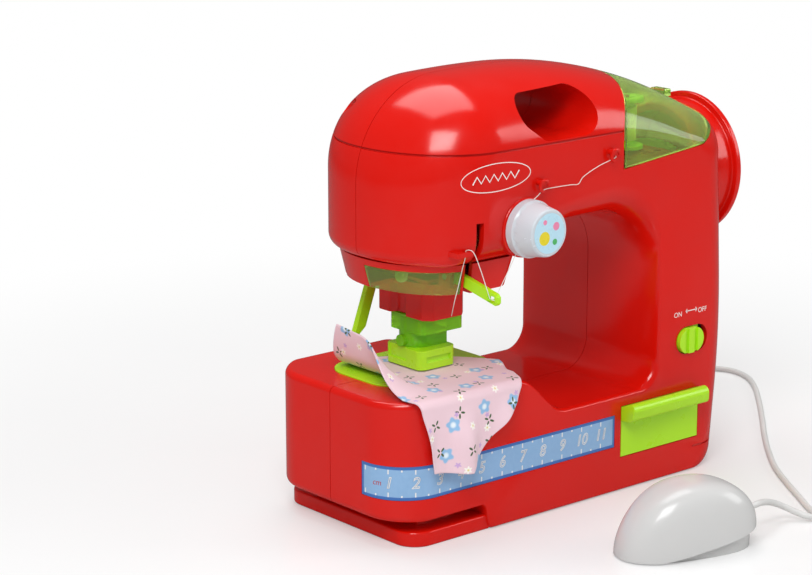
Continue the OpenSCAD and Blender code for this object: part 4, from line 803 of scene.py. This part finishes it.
def textMesh(words, size, slant, outline):
    curve = bpy.data.curves.new("text", "FONT")
    curve.body = words
    curve.size = size * mm / 0.72  # capitals are about 0.72 of the font size
    curve.align_x = "CENTER"
    curve.align_y = "CENTER"
    curve.shear = slant
    if outline:
        curve.fill_mode = "NONE"
        curve.bevel_depth = outline * mm
        curve.bevel_resolution = 0
    obj = bpy.data.objects.new("text", curve)
    scene.collection.objects.link(obj)
    mesh = baked(obj, "text")
    bpy.data.objects.remove(obj)
    return mesh


def joined(name, meshes):
    bm = bmesh.new()
    for mesh in meshes:
        bm.from_mesh(mesh)
    result = bpy.data.meshes.new(name)
    bm.to_mesh(result)
    bm.free()
    return result


rulerPrint = {
    "numbers": 11, "zero": -98, "digit": 4.3, "long": 1.7, "short": 0.7, "line": 0.45,
    "dot": 0.6, "ink": 0.04, "lift": 0.04, "slant": 0.2, "stroke": 0.16, "unit": 2.2,
    "unitZ": 24.2, "unitShift": -4.6, "flatten": 0.2}
tickX = [10 * k + rulerPrint["zero"] for k in range(rulerPrint["numbers"] + 1)]
halfX = [x + 5 for x in tickX[:-1]]
inner = (ruler["low"] + ruler["border"], ruler["high"] - ruler["border"])
tickRows = []
for name, places, width, tall in (("longTicks", tickX, rulerPrint["line"], rulerPrint["long"]),
                                  ("shortTicks", halfX, rulerPrint["dot"], rulerPrint["short"])):
    spots = [(x, 0, z) for x in places for z in (inner[0] + tall / 2, inner[1] - tall / 2)]
    tickRows.append(repeated(name, spots, (width, rulerPrint["ink"], tall), mats["printWhite"]))
ticks = wrapped(joined("rulerTicks", tickRows), rulerPrint["lift"])
linkMesh("rulerTicks", ticks, mats["printWhite"], "machine")
digits = []
middle = (ruler["low"] + ruler["high"]) / 2 * mm
for k in range(1, rulerPrint["numbers"] + 1):
    mesh = textMesh(str(k), rulerPrint["digit"], rulerPrint["slant"], rulerPrint["stroke"])
    for v in mesh.vertices:
        v.co = (v.co.x + tickX[k] * mm, rulerPrint["flatten"] * v.co.z, v.co.y + middle)
    digits.append(wrapped(mesh, rulerPrint["lift"]))
linkMesh("rulerNumbers", joined("rulerNumbers", digits), mats["printWhite"], "machine")
unit = textMesh("cm", rulerPrint["unit"], rulerPrint["slant"], 0)
for v in unit.vertices:
    v.co = (v.co.x + (tickX[1] + rulerPrint["unitShift"]) * mm, v.co.z, v.co.y + rulerPrint["unitZ"] * mm)
linkMesh("rulerUnit", wrapped(unit, rulerPrint["lift"]), mats["printRed"], "machine")
print("stage: ruler printed")

# cloth on the bed
cloth = {
    "left": [(-73, -66), (-80, -37), (-86, 12)], "right": [(-58, -68), (-34, -47), (-20, -16)], "split": 0.37,
    "bulge": 18, "thick": 0.5, "z": 55.0, "bend": 3, "edge": 37.6, "flapX": -63, "flapBend": 9,
    "flapAngle": 75, "flapY": 34, "fold": 1.7, "foldSharp": 1.4, "foldStart": 16, "foldTurn": 17,
    "foldShift": 20, "droop": 0.4, "droopX": -27, "droopY": -19, "droopEase": 6, "cells": (110, 150)}


def ease(t):
    s = min(max(t, 0), 1)
    return s * s * (3 - 2 * s)


def clothFlat(a, b):  # across by a, from front to rear by b
    def side(rows):
        p, q, r = (np.array(c, float) for c in rows)
        if b < cloth["split"]:
            return p + (q - p) * b / cloth["split"]
        return q + (r - q) * (b - cloth["split"]) / (1 - cloth["split"])
    left, right = side(cloth["left"]), side(cloth["right"])
    bulge = cloth["bulge"] * ease((b - cloth["split"]) / (1 - cloth["split"])) * 4 * a * (1 - a)
    return left + (right - left) * a + np.array((0, bulge))


def drape(px, py):
    s = max(0, -cloth["edge"] - py)
    q = cloth["bend"] * math.pi / 2
    a = min(s, q) / cloth["bend"]
    down = max(0, s - q)
    ripple = 1 + math.sin(math.radians(px * cloth["foldTurn"] + cloth["foldShift"]))
    wave = cloth["fold"] * ease(down / cloth["foldStart"]) * ripple ** cloth["foldSharp"]
    y = -cloth["edge"] - cloth["bend"] * math.sin(a) - wave if s > 0 else py
    droop = cloth["droop"] * max(0, px - cloth["droopX"]) * ease((cloth["droopY"] - py) / cloth["droopEase"])
    z = cloth["z"] - cloth["bend"] * (1 - math.cos(a)) - down - droop
    f = max(0, cloth["flapX"] - px)
    turn = math.radians(cloth["flapAngle"]) * ease((py + cloth["flapY"]) / cloth["flapY"])
    if turn < math.radians(1):  # nearly flat
        dx, dz = f, 0
    else:
        b = min(f, cloth["flapBend"] * turn) / cloth["flapBend"]
        rest = max(0, f - cloth["flapBend"] * turn)
        dx = cloth["flapBend"] * math.sin(b) + rest * math.cos(b)
        dz = cloth["flapBend"] * (1 - math.cos(b)) + rest * math.sin(b)
    return np.array((cloth["flapX"] - dx if f > 0 else px, y, z + dz))


def clothMesh():
    nu, nv = cloth["cells"]
    points, uvs, faces = [], [], []
    for i in range(nu + 1):
        for j in range(nv + 1):
            flat = clothFlat(i / nu, j / nv)
            points.append(drape(*flat) * mm)
            uvs.append(tuple(flat * mm))
    for i in range(nu):
        for j in range(nv):
            k = i * (nv + 1) + j
            faces.append((k, k + nv + 1, k + nv + 2, k + 1))
    mesh = meshFrom("cloth", points, faces)
    layer = mesh.uv_layers.new(name="flat")
    for loop in mesh.loops:
        layer.data[loop.index].uv = uvs[loop.vertex_index]
    return mesh


def flatArea():
    steps = [k / 40 for k in range(41)]
    rim = [clothFlat(0, b) for b in steps] + [clothFlat(a, 1) for a in steps]
    rim += [clothFlat(1, b) for b in steps[::-1]]
    return abs(sum(p[0] * q[1] - q[0] * p[1] for p, q in zip(rim, rim[1:] + rim[:1]))) / 2


prints = [  # bloom: cell, seed, core, petals, depth; inks: softness, colour, and a radius or the petals' rim
    {"bloom": (15, 0.0113, 2.5, 5, 0.42), "inks": [(0.35, "#8FBEE6", None), (0.5, "#E6F3FA", 1.0)]},
    {"bloom": (13, 0.0371, 0.75, 4, 1.5), "inks": [(0.15, "#3C5A30", None)], "eye": 0.5},
    {"bloom": (14, 0.0529, 0.8, 5, 0.25), "inks": [(0.3, "#CBA6D8", None)]},
    {"bloom": (17, 0.0833, 1.2, 6, 0.35), "inks": [(0.25, "#FAF6EE", None), (0.15, "#E8D890", 0.4)]}]


def cottonMaterial(name):  # dull pink plain weave with its own small floral print, sizes in mm
    mat, tree = newMaterial(name)
    uv = addNode(tree, "ShaderNodeUVMap", {"uv_map": "flat"})

    def bloom(cell, seed, core, petals, depth):  # petal-edged spots, one to a cell
        shift = addNode(tree, "ShaderNodeVectorMath", {"operation": "ADD"}, i0=uv, i1=(seed, seed * 0.7, 0))
        spots = addNode(tree, "ShaderNodeTexVoronoi", {"voronoi_dimensions": "2D"}, Vector=shift,
                        Scale=1 / (cell * mm), Randomness=0.55)
        away = addNode(tree, "ShaderNodeVectorMath", {"operation": "SUBTRACT"}, i0=shift,
                       i1=spots.outputs["Position"])
        parts = addNode(tree, "ShaderNodeSeparateXYZ", Vector=away)
        chance = addNode(tree, "ShaderNodeSeparateColor", Color=spots.outputs["Color"])
        angle = addNode(tree, "ShaderNodeMath", {"operation": "ARCTAN2"}, i0=parts.outputs[1],
                        i1=parts.outputs[0])
        spin = addNode(tree, *times, i0=addNode(tree, *plus, i0=angle, i1=chance), i1=petals)
        lobes = addNode(tree, "ShaderNodeMath", {"operation": "COSINE"}, i0=spin)
        rim = addNode(tree, *plus, i0=addNode(tree, *times, i0=lobes, i1=depth), i1=core)
        return addNode(tree, *times, i0=spots.outputs["Distance"], i1=cell), rim

    drift = addNode(tree, "ShaderNodeTexNoise", Vector=uv, Scale=1 / (9 * mm), Detail=2.0)
    color = addNode(tree, *colorMix, i0=drift, i6=srgb("#F0D2DC"), i7=srgb("#EBCBD4"))
    for row in prints:
        radius, rim = bloom(*row["bloom"])
        for soft, ink, inside in row["inks"]:
            gap = addNode(tree, *minus, i0=rim if inside is None else inside, i1=radius)
            cover = addNode(tree, *smoothRange, Value=gap, From_Min=-soft, From_Max=soft)
            if "eye" in row:  # the middle stays bare
                cover = addNode(tree, *times, i0=cover, i1=addNode(tree, *above, i0=radius, i1=row["eye"]))
            color = addNode(tree, *colorMix, i0=cover, i6=color.outputs[2], i7=srgb(ink))
    warp, weft = (  # bands 0.4 mm apart, coarser than real thread so that they show
        addNode(tree, "ShaderNodeTexWave", {"bands_direction": way}, Vector=uv, Scale=1 / (1.3 * mm))
        for way in ("X", "Y"))
    weave = addNode(tree, *times, i0=warp.outputs[1], i1=weft.outputs[1])
    faint = addNode(tree, *times, i0=weave, i1=0.1)
    color = addNode(tree, *colorMix, i0=faint, i6=color.outputs[2], i7=srgb("#B8A0A6"))
    bump = addNode(tree, "ShaderNodeBump", Strength=0.35, Distance=0.1 * mm, Height=weave)
    shader = addNode(tree, "ShaderNodeBsdfPrincipled", Base_Color=color.outputs[2], Normal=bump,
                     Roughness=0.85, Sheen_Weight=0.2)
    addNode(tree, "ShaderNodeOutputMaterial", Surface=shader)
    return mat


mats["printedCotton"] = cottonMaterial("printedCotton")
clothSheet = clothMesh()
clothObj = bpy.data.objects.new("work", clothSheet)
scene.collection.objects.link(clothObj)
thicken = clothObj.modifiers.new("thick", "SOLIDIFY")
thicken.thickness = cloth["thick"] * mm
thicken.offset = 0
solid = baked(clothObj, "printedCloth")
bpy.data.objects.remove(clothObj)
for poly in solid.polygons:
    poly.use_smooth = True
clothPiece = linkMesh("printedCloth", solid, mats["printedCotton"], "machine")
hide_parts("fabric_piece")
flatArea() * mm * mm
print("stage: cloth draped", round(flatArea()), "square mm")

# foot pedal cover
pedal = {
    "place": (-4, -97), "turn": -16, "length": 27, "width": 14.5, "height": 25.5, "wall": 1.6, "drop": 3,
    "peak": 2, "ahead": 36, "behind": 31, "brow": 3, "lip": 0.5, "lipStart": -16, "skirt": 0.17,
    "nose": 0.62, "heel": 0.9, "sides": 0.85, "shoulder": 0.5, "roof": 0.8, "points": 160, "steps": 30,
    "slot": (-0.6, 11.6, 15.6, 2.1), "slotX": (19, 35), "ear": (-23.2, -18.8, 0.9, 1.4, 16), "earY": 3.8}


def pedalPoint(x, y, z):
    a = math.radians(pedal["turn"])
    u, v = x * math.cos(a) - y * math.sin(a), x * math.sin(a) + y * math.cos(a)
    return pedal["place"][0] + u, pedal["place"][1] + v, z


def pedalDome(d, drop):  # closed dome, smaller by d and lower at its rim by drop
    def power(v, e):
        return math.copysign(abs(v) ** e, v)

    def crest(x):
        s = (x - pedal["peak"]) / pedal["ahead" if x > pedal["peak"] else "behind"]
        return pedal["brow"] + (pedal["height"] - pedal["brow"]) * math.sqrt(max(0, 1 - s * s))

    def low(x):
        return pedal["lip"] + max(0, x - pedal["lipStart"]) * pedal["skirt"]

    n, steps, peak = pedal["points"], pedal["steps"], pedal["peak"]
    points = []
    for j in range(steps):
        t = math.pi / 2 * j / steps
        q, s = math.cos(t) ** pedal["shoulder"], math.sin(t) ** pedal["roof"]
        for k in range(n):
            a = 2 * math.pi * (k + 0.5) / n
            ex = (pedal["length"] - d) * power(math.cos(a), pedal["nose" if math.cos(a) > 0 else "heel"])
            ey = (pedal["width"] - d) * power(math.sin(a), pedal["sides"])
            x = peak + (ex - peak) * q
            points.append(pedalPoint(x, ey * q, (low(ex) - drop) * (1 - s) + (crest(x) - d) * s))
    points += [pedalPoint(peak, 0, crest(peak) - d), pedalPoint(peak, 0, low(peak) - drop)]
    points = [[c * mm for c in p] for p in points]
    top = steps * n
    faces = []
    for j in range(steps - 1):
        faces += [(j * n + k, j * n + (k + 1) % n, (j + 1) * n + (k + 1) % n, (j + 1) * n + k)
                  for k in range(n)]
    faces += [(top - n + k, top - n + (k + 1) % n, top) for k in range(n)]
    faces += [((k + 1) % n, k, top + 1) for k in range(n)]
    return meshFrom("dome", points, faces)


def pedalSlot():  # where the cord comes out
    y, low, high, r = pedal["slot"]
    outline = hullPoints(circlePoints(y, low, r, 48) + circlePoints(y, high, r, 48))
    return prismMesh(outline, lambda u, v, w: pedalPoint(w, u, v), *pedal["slotX"])


cover = combine(pedalDome(0, 0), pedalDome(pedal["wall"], pedal["drop"]), "DIFFERENCE")
cover = combine(cover, pedalSlot(), "DIFFERENCE")
coverPiece = linkMesh("pedalCover", cover, mats["whiteAbs"], "pedal", 32)
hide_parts("pedal_cover")
x0, x1, thick, z0, z1 = pedal["ear"]
for y in (-pedal["earY"], pedal["earY"]):
    ear = boxMesh(x0, x1, y - thick, y + thick, z0, z1)
    for v in ear.vertices:
        v.co = [c * mm for c in pedalPoint(*(c / mm for c in v.co))]
    ear = combine(ear, pedalDome(pedal["wall"] / 2, 0), "INTERSECT")
    linkMesh("pedalEar" + ("A" if y < 0 else "B"), ear, mats["whiteAbs"], "pedal", 30)


def helix(x, y, r, low, high, turns, steps=24):
    count = turns * steps
    angles = [2 * math.pi * i / steps for i in range(count + 1)]
    return [(x + r * math.cos(a), y + r * math.sin(a), low + (high - low) * i / count)
            for i, a in enumerate(angles)]


spring = {"x": 12, "r": 2.6, "wire": 0.4, "turns": 7, "low": 6.6, "high": 20.9, "seat": 6.2, "kept": 0.8}
coil = helix(spring["x"], 0, spring["r"], spring["low"], spring["high"], spring["turns"])
coilMesh = tubeMesh("pedalCoil", [pedalPoint(*p) for p in coil], spring["wire"], 8)
coilPiece = linkMesh("pedalCoil", coilMesh, mats["drawnSteel"], "machine", 60)
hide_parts("pedal_spring")
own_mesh(coilPiece)
print("stage: pedal cover made")

# spool winding
spool = {"x": 44, "y": -14, "low": 130.2, "high": 142.6, "turns": 30, "r": 4.75, "d": 0.42}
turnPath = helix(spool["x"], spool["y"], spool["r"], spool["low"], spool["high"], spool["turns"])
windingMesh = tubeMesh("threadWinding", turnPath, spool["d"] / 2, 8)
winding = linkMesh("threadWinding", windingMesh, mats["cottonThread"], "spool", 60)
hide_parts("spool_thread")

# dial face, label oval and switch lettering
dialFace = {
    "y": -50.45, "film": 0.06, "ink": 0.09, "r": 7.3,
    "spots": {  # place on the face, radius and finish
        "dialSpotA": (-2.4, -1.6, 2.5, "stickerYellow"), "dialSpotB": (3.2, 2.2, 1.5, "stickerPink"),
        "dialSpotC": (2.6, -3.4, 1.1, "stickerGreen"), "dialSpotD": (-2.2, 4.2, 0.9, "stickerPink")}}
facePlace = lambda u, v, w: (openings["stem"][0] + u, dialFace["y"] - w, openings["stem"][1] + v)
faceDisc = prismMesh(circlePoints(0, 0, dialFace["r"], 128), facePlace, 0, dialFace["film"])
linkMesh("dialSticker", faceDisc, mats["stickerBlue"], "dial", 40)
for name, (u, v, r, finish) in dialFace["spots"].items():
    spot = prismMesh(circlePoints(u, v, r, 64), facePlace, dialFace["film"], dialFace["ink"])
    linkMesh(name, spot, mats[finish], "dial", 40)

label = {
    "x": -42.4, "z": 130.5, "w": 33, "h": 10, "line": 0.3, "y": -38.03,
    "stitchLine": 0.55, "stitch": 2, "stitchHigh": 1.3, "stitches": 11}


def strip(name, path, width, closed=False):  # flat painted line on the front face
    n = len(path)
    points, faces = [], []
    for i, (x, z) in enumerate(path):
        a = path[(i - 1) % n] if closed else path[max(i - 1, 0)]
        b = path[(i + 1) % n] if closed else path[min(i + 1, n - 1)]
        t = np.array((b[0] - a[0], b[1] - a[1]))
        t /= np.linalg.norm(t)
        for s in (-0.5, 0.5):
            points.append(((x - t[1] * width * s) * mm, label["y"] * mm, (z + t[0] * width * s) * mm))
    last = n if closed else n - 1
    for i in range(last):
        a, b = 2 * i, 2 * ((i + 1) % n)
        faces.append((a, a + 1, b + 1, b))
    linkMesh(name, meshFrom(name, points, faces), mats["printWhite"], "machine")


ovalTurns = np.linspace(0, 2 * math.pi, 97)[:-1]
oval = [(label["x"] + label["w"] / 2 * math.cos(a), label["z"] + label["h"] / 2 * math.sin(a))
        for a in ovalTurns]
strip("labelOval", oval, label["line"], closed=True)
zigzagX = [label["x"] + label["stitch"] * (k - label["stitches"] / 2) for k in range(label["stitches"] + 1)]
zigzag = [(x, label["z"] + label["stitchHigh"] * (1 if k % 2 else -1)) for k, x in enumerate(zigzagX)]
strip("labelStitch", zigzag, label["stitchLine"])
switchPrint = {
    "words": {"ON": 52.2, "OFF": 65.6}, "wordZ": 64.2, "size": 2.0,
    "left": 56.4, "right": 62.6, "z": 64.95, "head": 0.8, "line": 0.35}
for words, x in switchPrint["words"].items():
    mesh = textMesh(words, switchPrint["size"], 0, 0)
    for v in mesh.vertices:
        v.co = (v.co.x + x * mm, label["y"] * mm, v.co.y + switchPrint["wordZ"] * mm)
    linkMesh("switchWord" + words.capitalize(), mesh, mats["printWhite"], "machine")
arrowZ, head = switchPrint["z"], switchPrint["head"]
strip("switchArrow", [(switchPrint["left"], arrowZ), (switchPrint["right"], arrowZ)], switchPrint["line"])
for name, tip, back in (("A", switchPrint["left"], head), ("B", switchPrint["right"], -head)):
    barb = [(tip + back, arrowZ + head), (tip, arrowZ), (tip + back, arrowZ - head)]
    strip("switchArrow" + name, barb, switchPrint["line"])
print("stage: prints made")

# upper thread from the hooks round the dial, through the lever and the bracket to the guard
thread = {
    "r": 0.14,
    "hooks": [
        (16.6, -38.2, 130.6), (15, -39.2, 130.2), (7.5, -38.7, 128.2), (0, -38.6, 125.3),
        (-2.6, -38.6, 122.9), (-6.6, -38.6, 123.1), (-14, -38.8, 123.3), (-20.2, -39.3, 123.3),
        (-23.6, -39.3, 121.4), (-26, -38.78, 119.6)],
    "rise": [
        (-33.2, -38.78, 101.8), (-34.4, -39.2, 100.4), (-41, -41.6, 94.6), (-47.9, -44.2, 89.1),
        (-49.2, -44.3, 88.7), (-50.5, -44.2, 89.1)],
    "fall": [
        (-50.5, -44.2, 89.1), (-52, -40.4, 100), (-53.2, -38.6, 105), (-54, -37, 105.9),
        (-54.6, -35.9, 105.5)],
    "drop": [
        (-54.6, -35.9, 105.5), (-54.7, -35.8, 103.2), (-54.7, -34.4, 99.1), (-54.9, -33.3, 94.9),
        (-55.3, -32.4, 90.8), (-55.6, -31.4, 87.0), (-44.5, -17.0, 76.3)],
    "follow": {"rise": (1, 3), "fall": (-2, 0)},  # from this point to that one the thread goes with the lever; here these runs are only kept off the machine body
}
for key in ("hooks", "rise", "fall", "drop"):
    run = tubeMesh("upperThread", spline(thread[key], 8), thread["r"], 10)
    rides = None if key in thread["follow"] else "machine"
    threadPiece = linkMesh("upperThread" + key.capitalize(), run, mats["cottonThread"], rides, 60)
    if key in thread["follow"]:
        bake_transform(threadPiece)
print("stage: upper thread strung")

# studio
studio = {
    "floor": (-6000, 6000, -6000, 6000, -20, -0.02), "fade": (0.12, 0.42), "glow": (0.3, 1.0),
    "floorDim": 0.7, "sky": 0.42, "seenSky": 0.58, "skyDim": 0.3,
    "lamps": {  # place, aim, width and power
        "keyLight": ((-620, -520, 900), (0, -20, 70), 500, 7.5),
        "fillLight": ((800, -600, 500), (0, 0, 80), 500, 2.5),
        "topLight": ((60, 260, 1000), (0, 0, 60), 700, 5)}}


def groundMaterial(name):  # pale painted board that turns to plain white far off and stays dim in reflections
    mat, tree = newMaterial(name)
    coords = addNode(tree, "ShaderNodeTexCoord").outputs["Object"]
    grain = addNode(tree, "ShaderNodeTexNoise", Vector=coords, Scale=1 / (80 * mm), Detail=2.0)
    tone = addNode(tree, *colorMix, i0=grain, i6=srgb("#F4F4F4"), i7=srgb("#F0F0F0"))
    shader = addNode(tree, "ShaderNodeBsdfPrincipled", Base_Color=tone.outputs[2], Roughness=0.3)
    reach = addNode(tree, "ShaderNodeVectorMath", {"operation": "LENGTH"}, i0=coords)
    fade = addNode(tree, *smoothRange, Value=reach.outputs["Value"], From_Min=studio["fade"][0],
                   From_Max=studio["fade"][1], To_Min=studio["glow"][0], To_Max=studio["glow"][1])
    rays = addNode(tree, "ShaderNodeLightPath")
    far = addNode(tree, *times, i0=fade, i1=rays.outputs["Is Camera Ray"])
    white = addNode(tree, "ShaderNodeEmission", Color=(1, 1, 1, 1), Strength=1.0)
    lit = addNode(tree, "ShaderNodeMixShader", i0=far, i1=shader, i2=white)
    dim = addNode(tree, *times, i0=rays.outputs["Is Glossy Ray"], i1=studio["floorDim"])
    dark = addNode(tree, "ShaderNodeEmission", Strength=0.0)
    mixed = addNode(tree, "ShaderNodeMixShader", i0=dim, i1=lit, i2=dark)
    addNode(tree, "ShaderNodeOutputMaterial", Surface=mixed)
    return mat


ground = linkMesh("floor", boxMesh(*studio["floor"]), groundMaterial("paleFloor"), None)
for name, (place, aim, size, power) in studio["lamps"].items():
    data = bpy.data.lights.new(name, "AREA")
    data.shape = "SQUARE"
    data.size = size * mm
    data.energy = power
    lamp = bpy.data.objects.new(name, data)
    scene.collection.objects.link(lamp)
    lamp.location = [c * mm for c in place]
    lamp.rotation_euler = (Vector(aim) - Vector(place)).to_track_quat("-Z", "Y").to_euler()
world = bpy.data.worlds.new("studio")
scene.world = world
world.use_nodes = True
skyTree = world.node_tree
skyTree.nodes.clear()
rays = addNode(skyTree, "ShaderNodeLightPath")
glossy = rays.outputs["Is Glossy Ray"]
seen = addNode(skyTree, *largest, i0=rays.outputs["Is Camera Ray"], i1=rays.outputs["Is Transmission Ray"])
dull = addNode(skyTree, *times, i0=glossy, i1=addNode(skyTree, *minus, i0=1.0, i1=seen))
bright = addNode(skyTree, *plus, i0=addNode(skyTree, *times, i0=seen, i1=studio["seenSky"]), i1=studio["sky"])
strength = addNode(skyTree, *minus, i0=bright, i1=addNode(skyTree, *times, i0=dull, i1=studio["skyDim"]))
sky = addNode(skyTree, "ShaderNodeBackground", Color=(1, 1, 1, 1), Strength=strength)
addNode(skyTree, "ShaderNodeOutputWorld", Surface=sky)
scene.view_settings.view_transform = "Standard"
print("stage: studio lit")
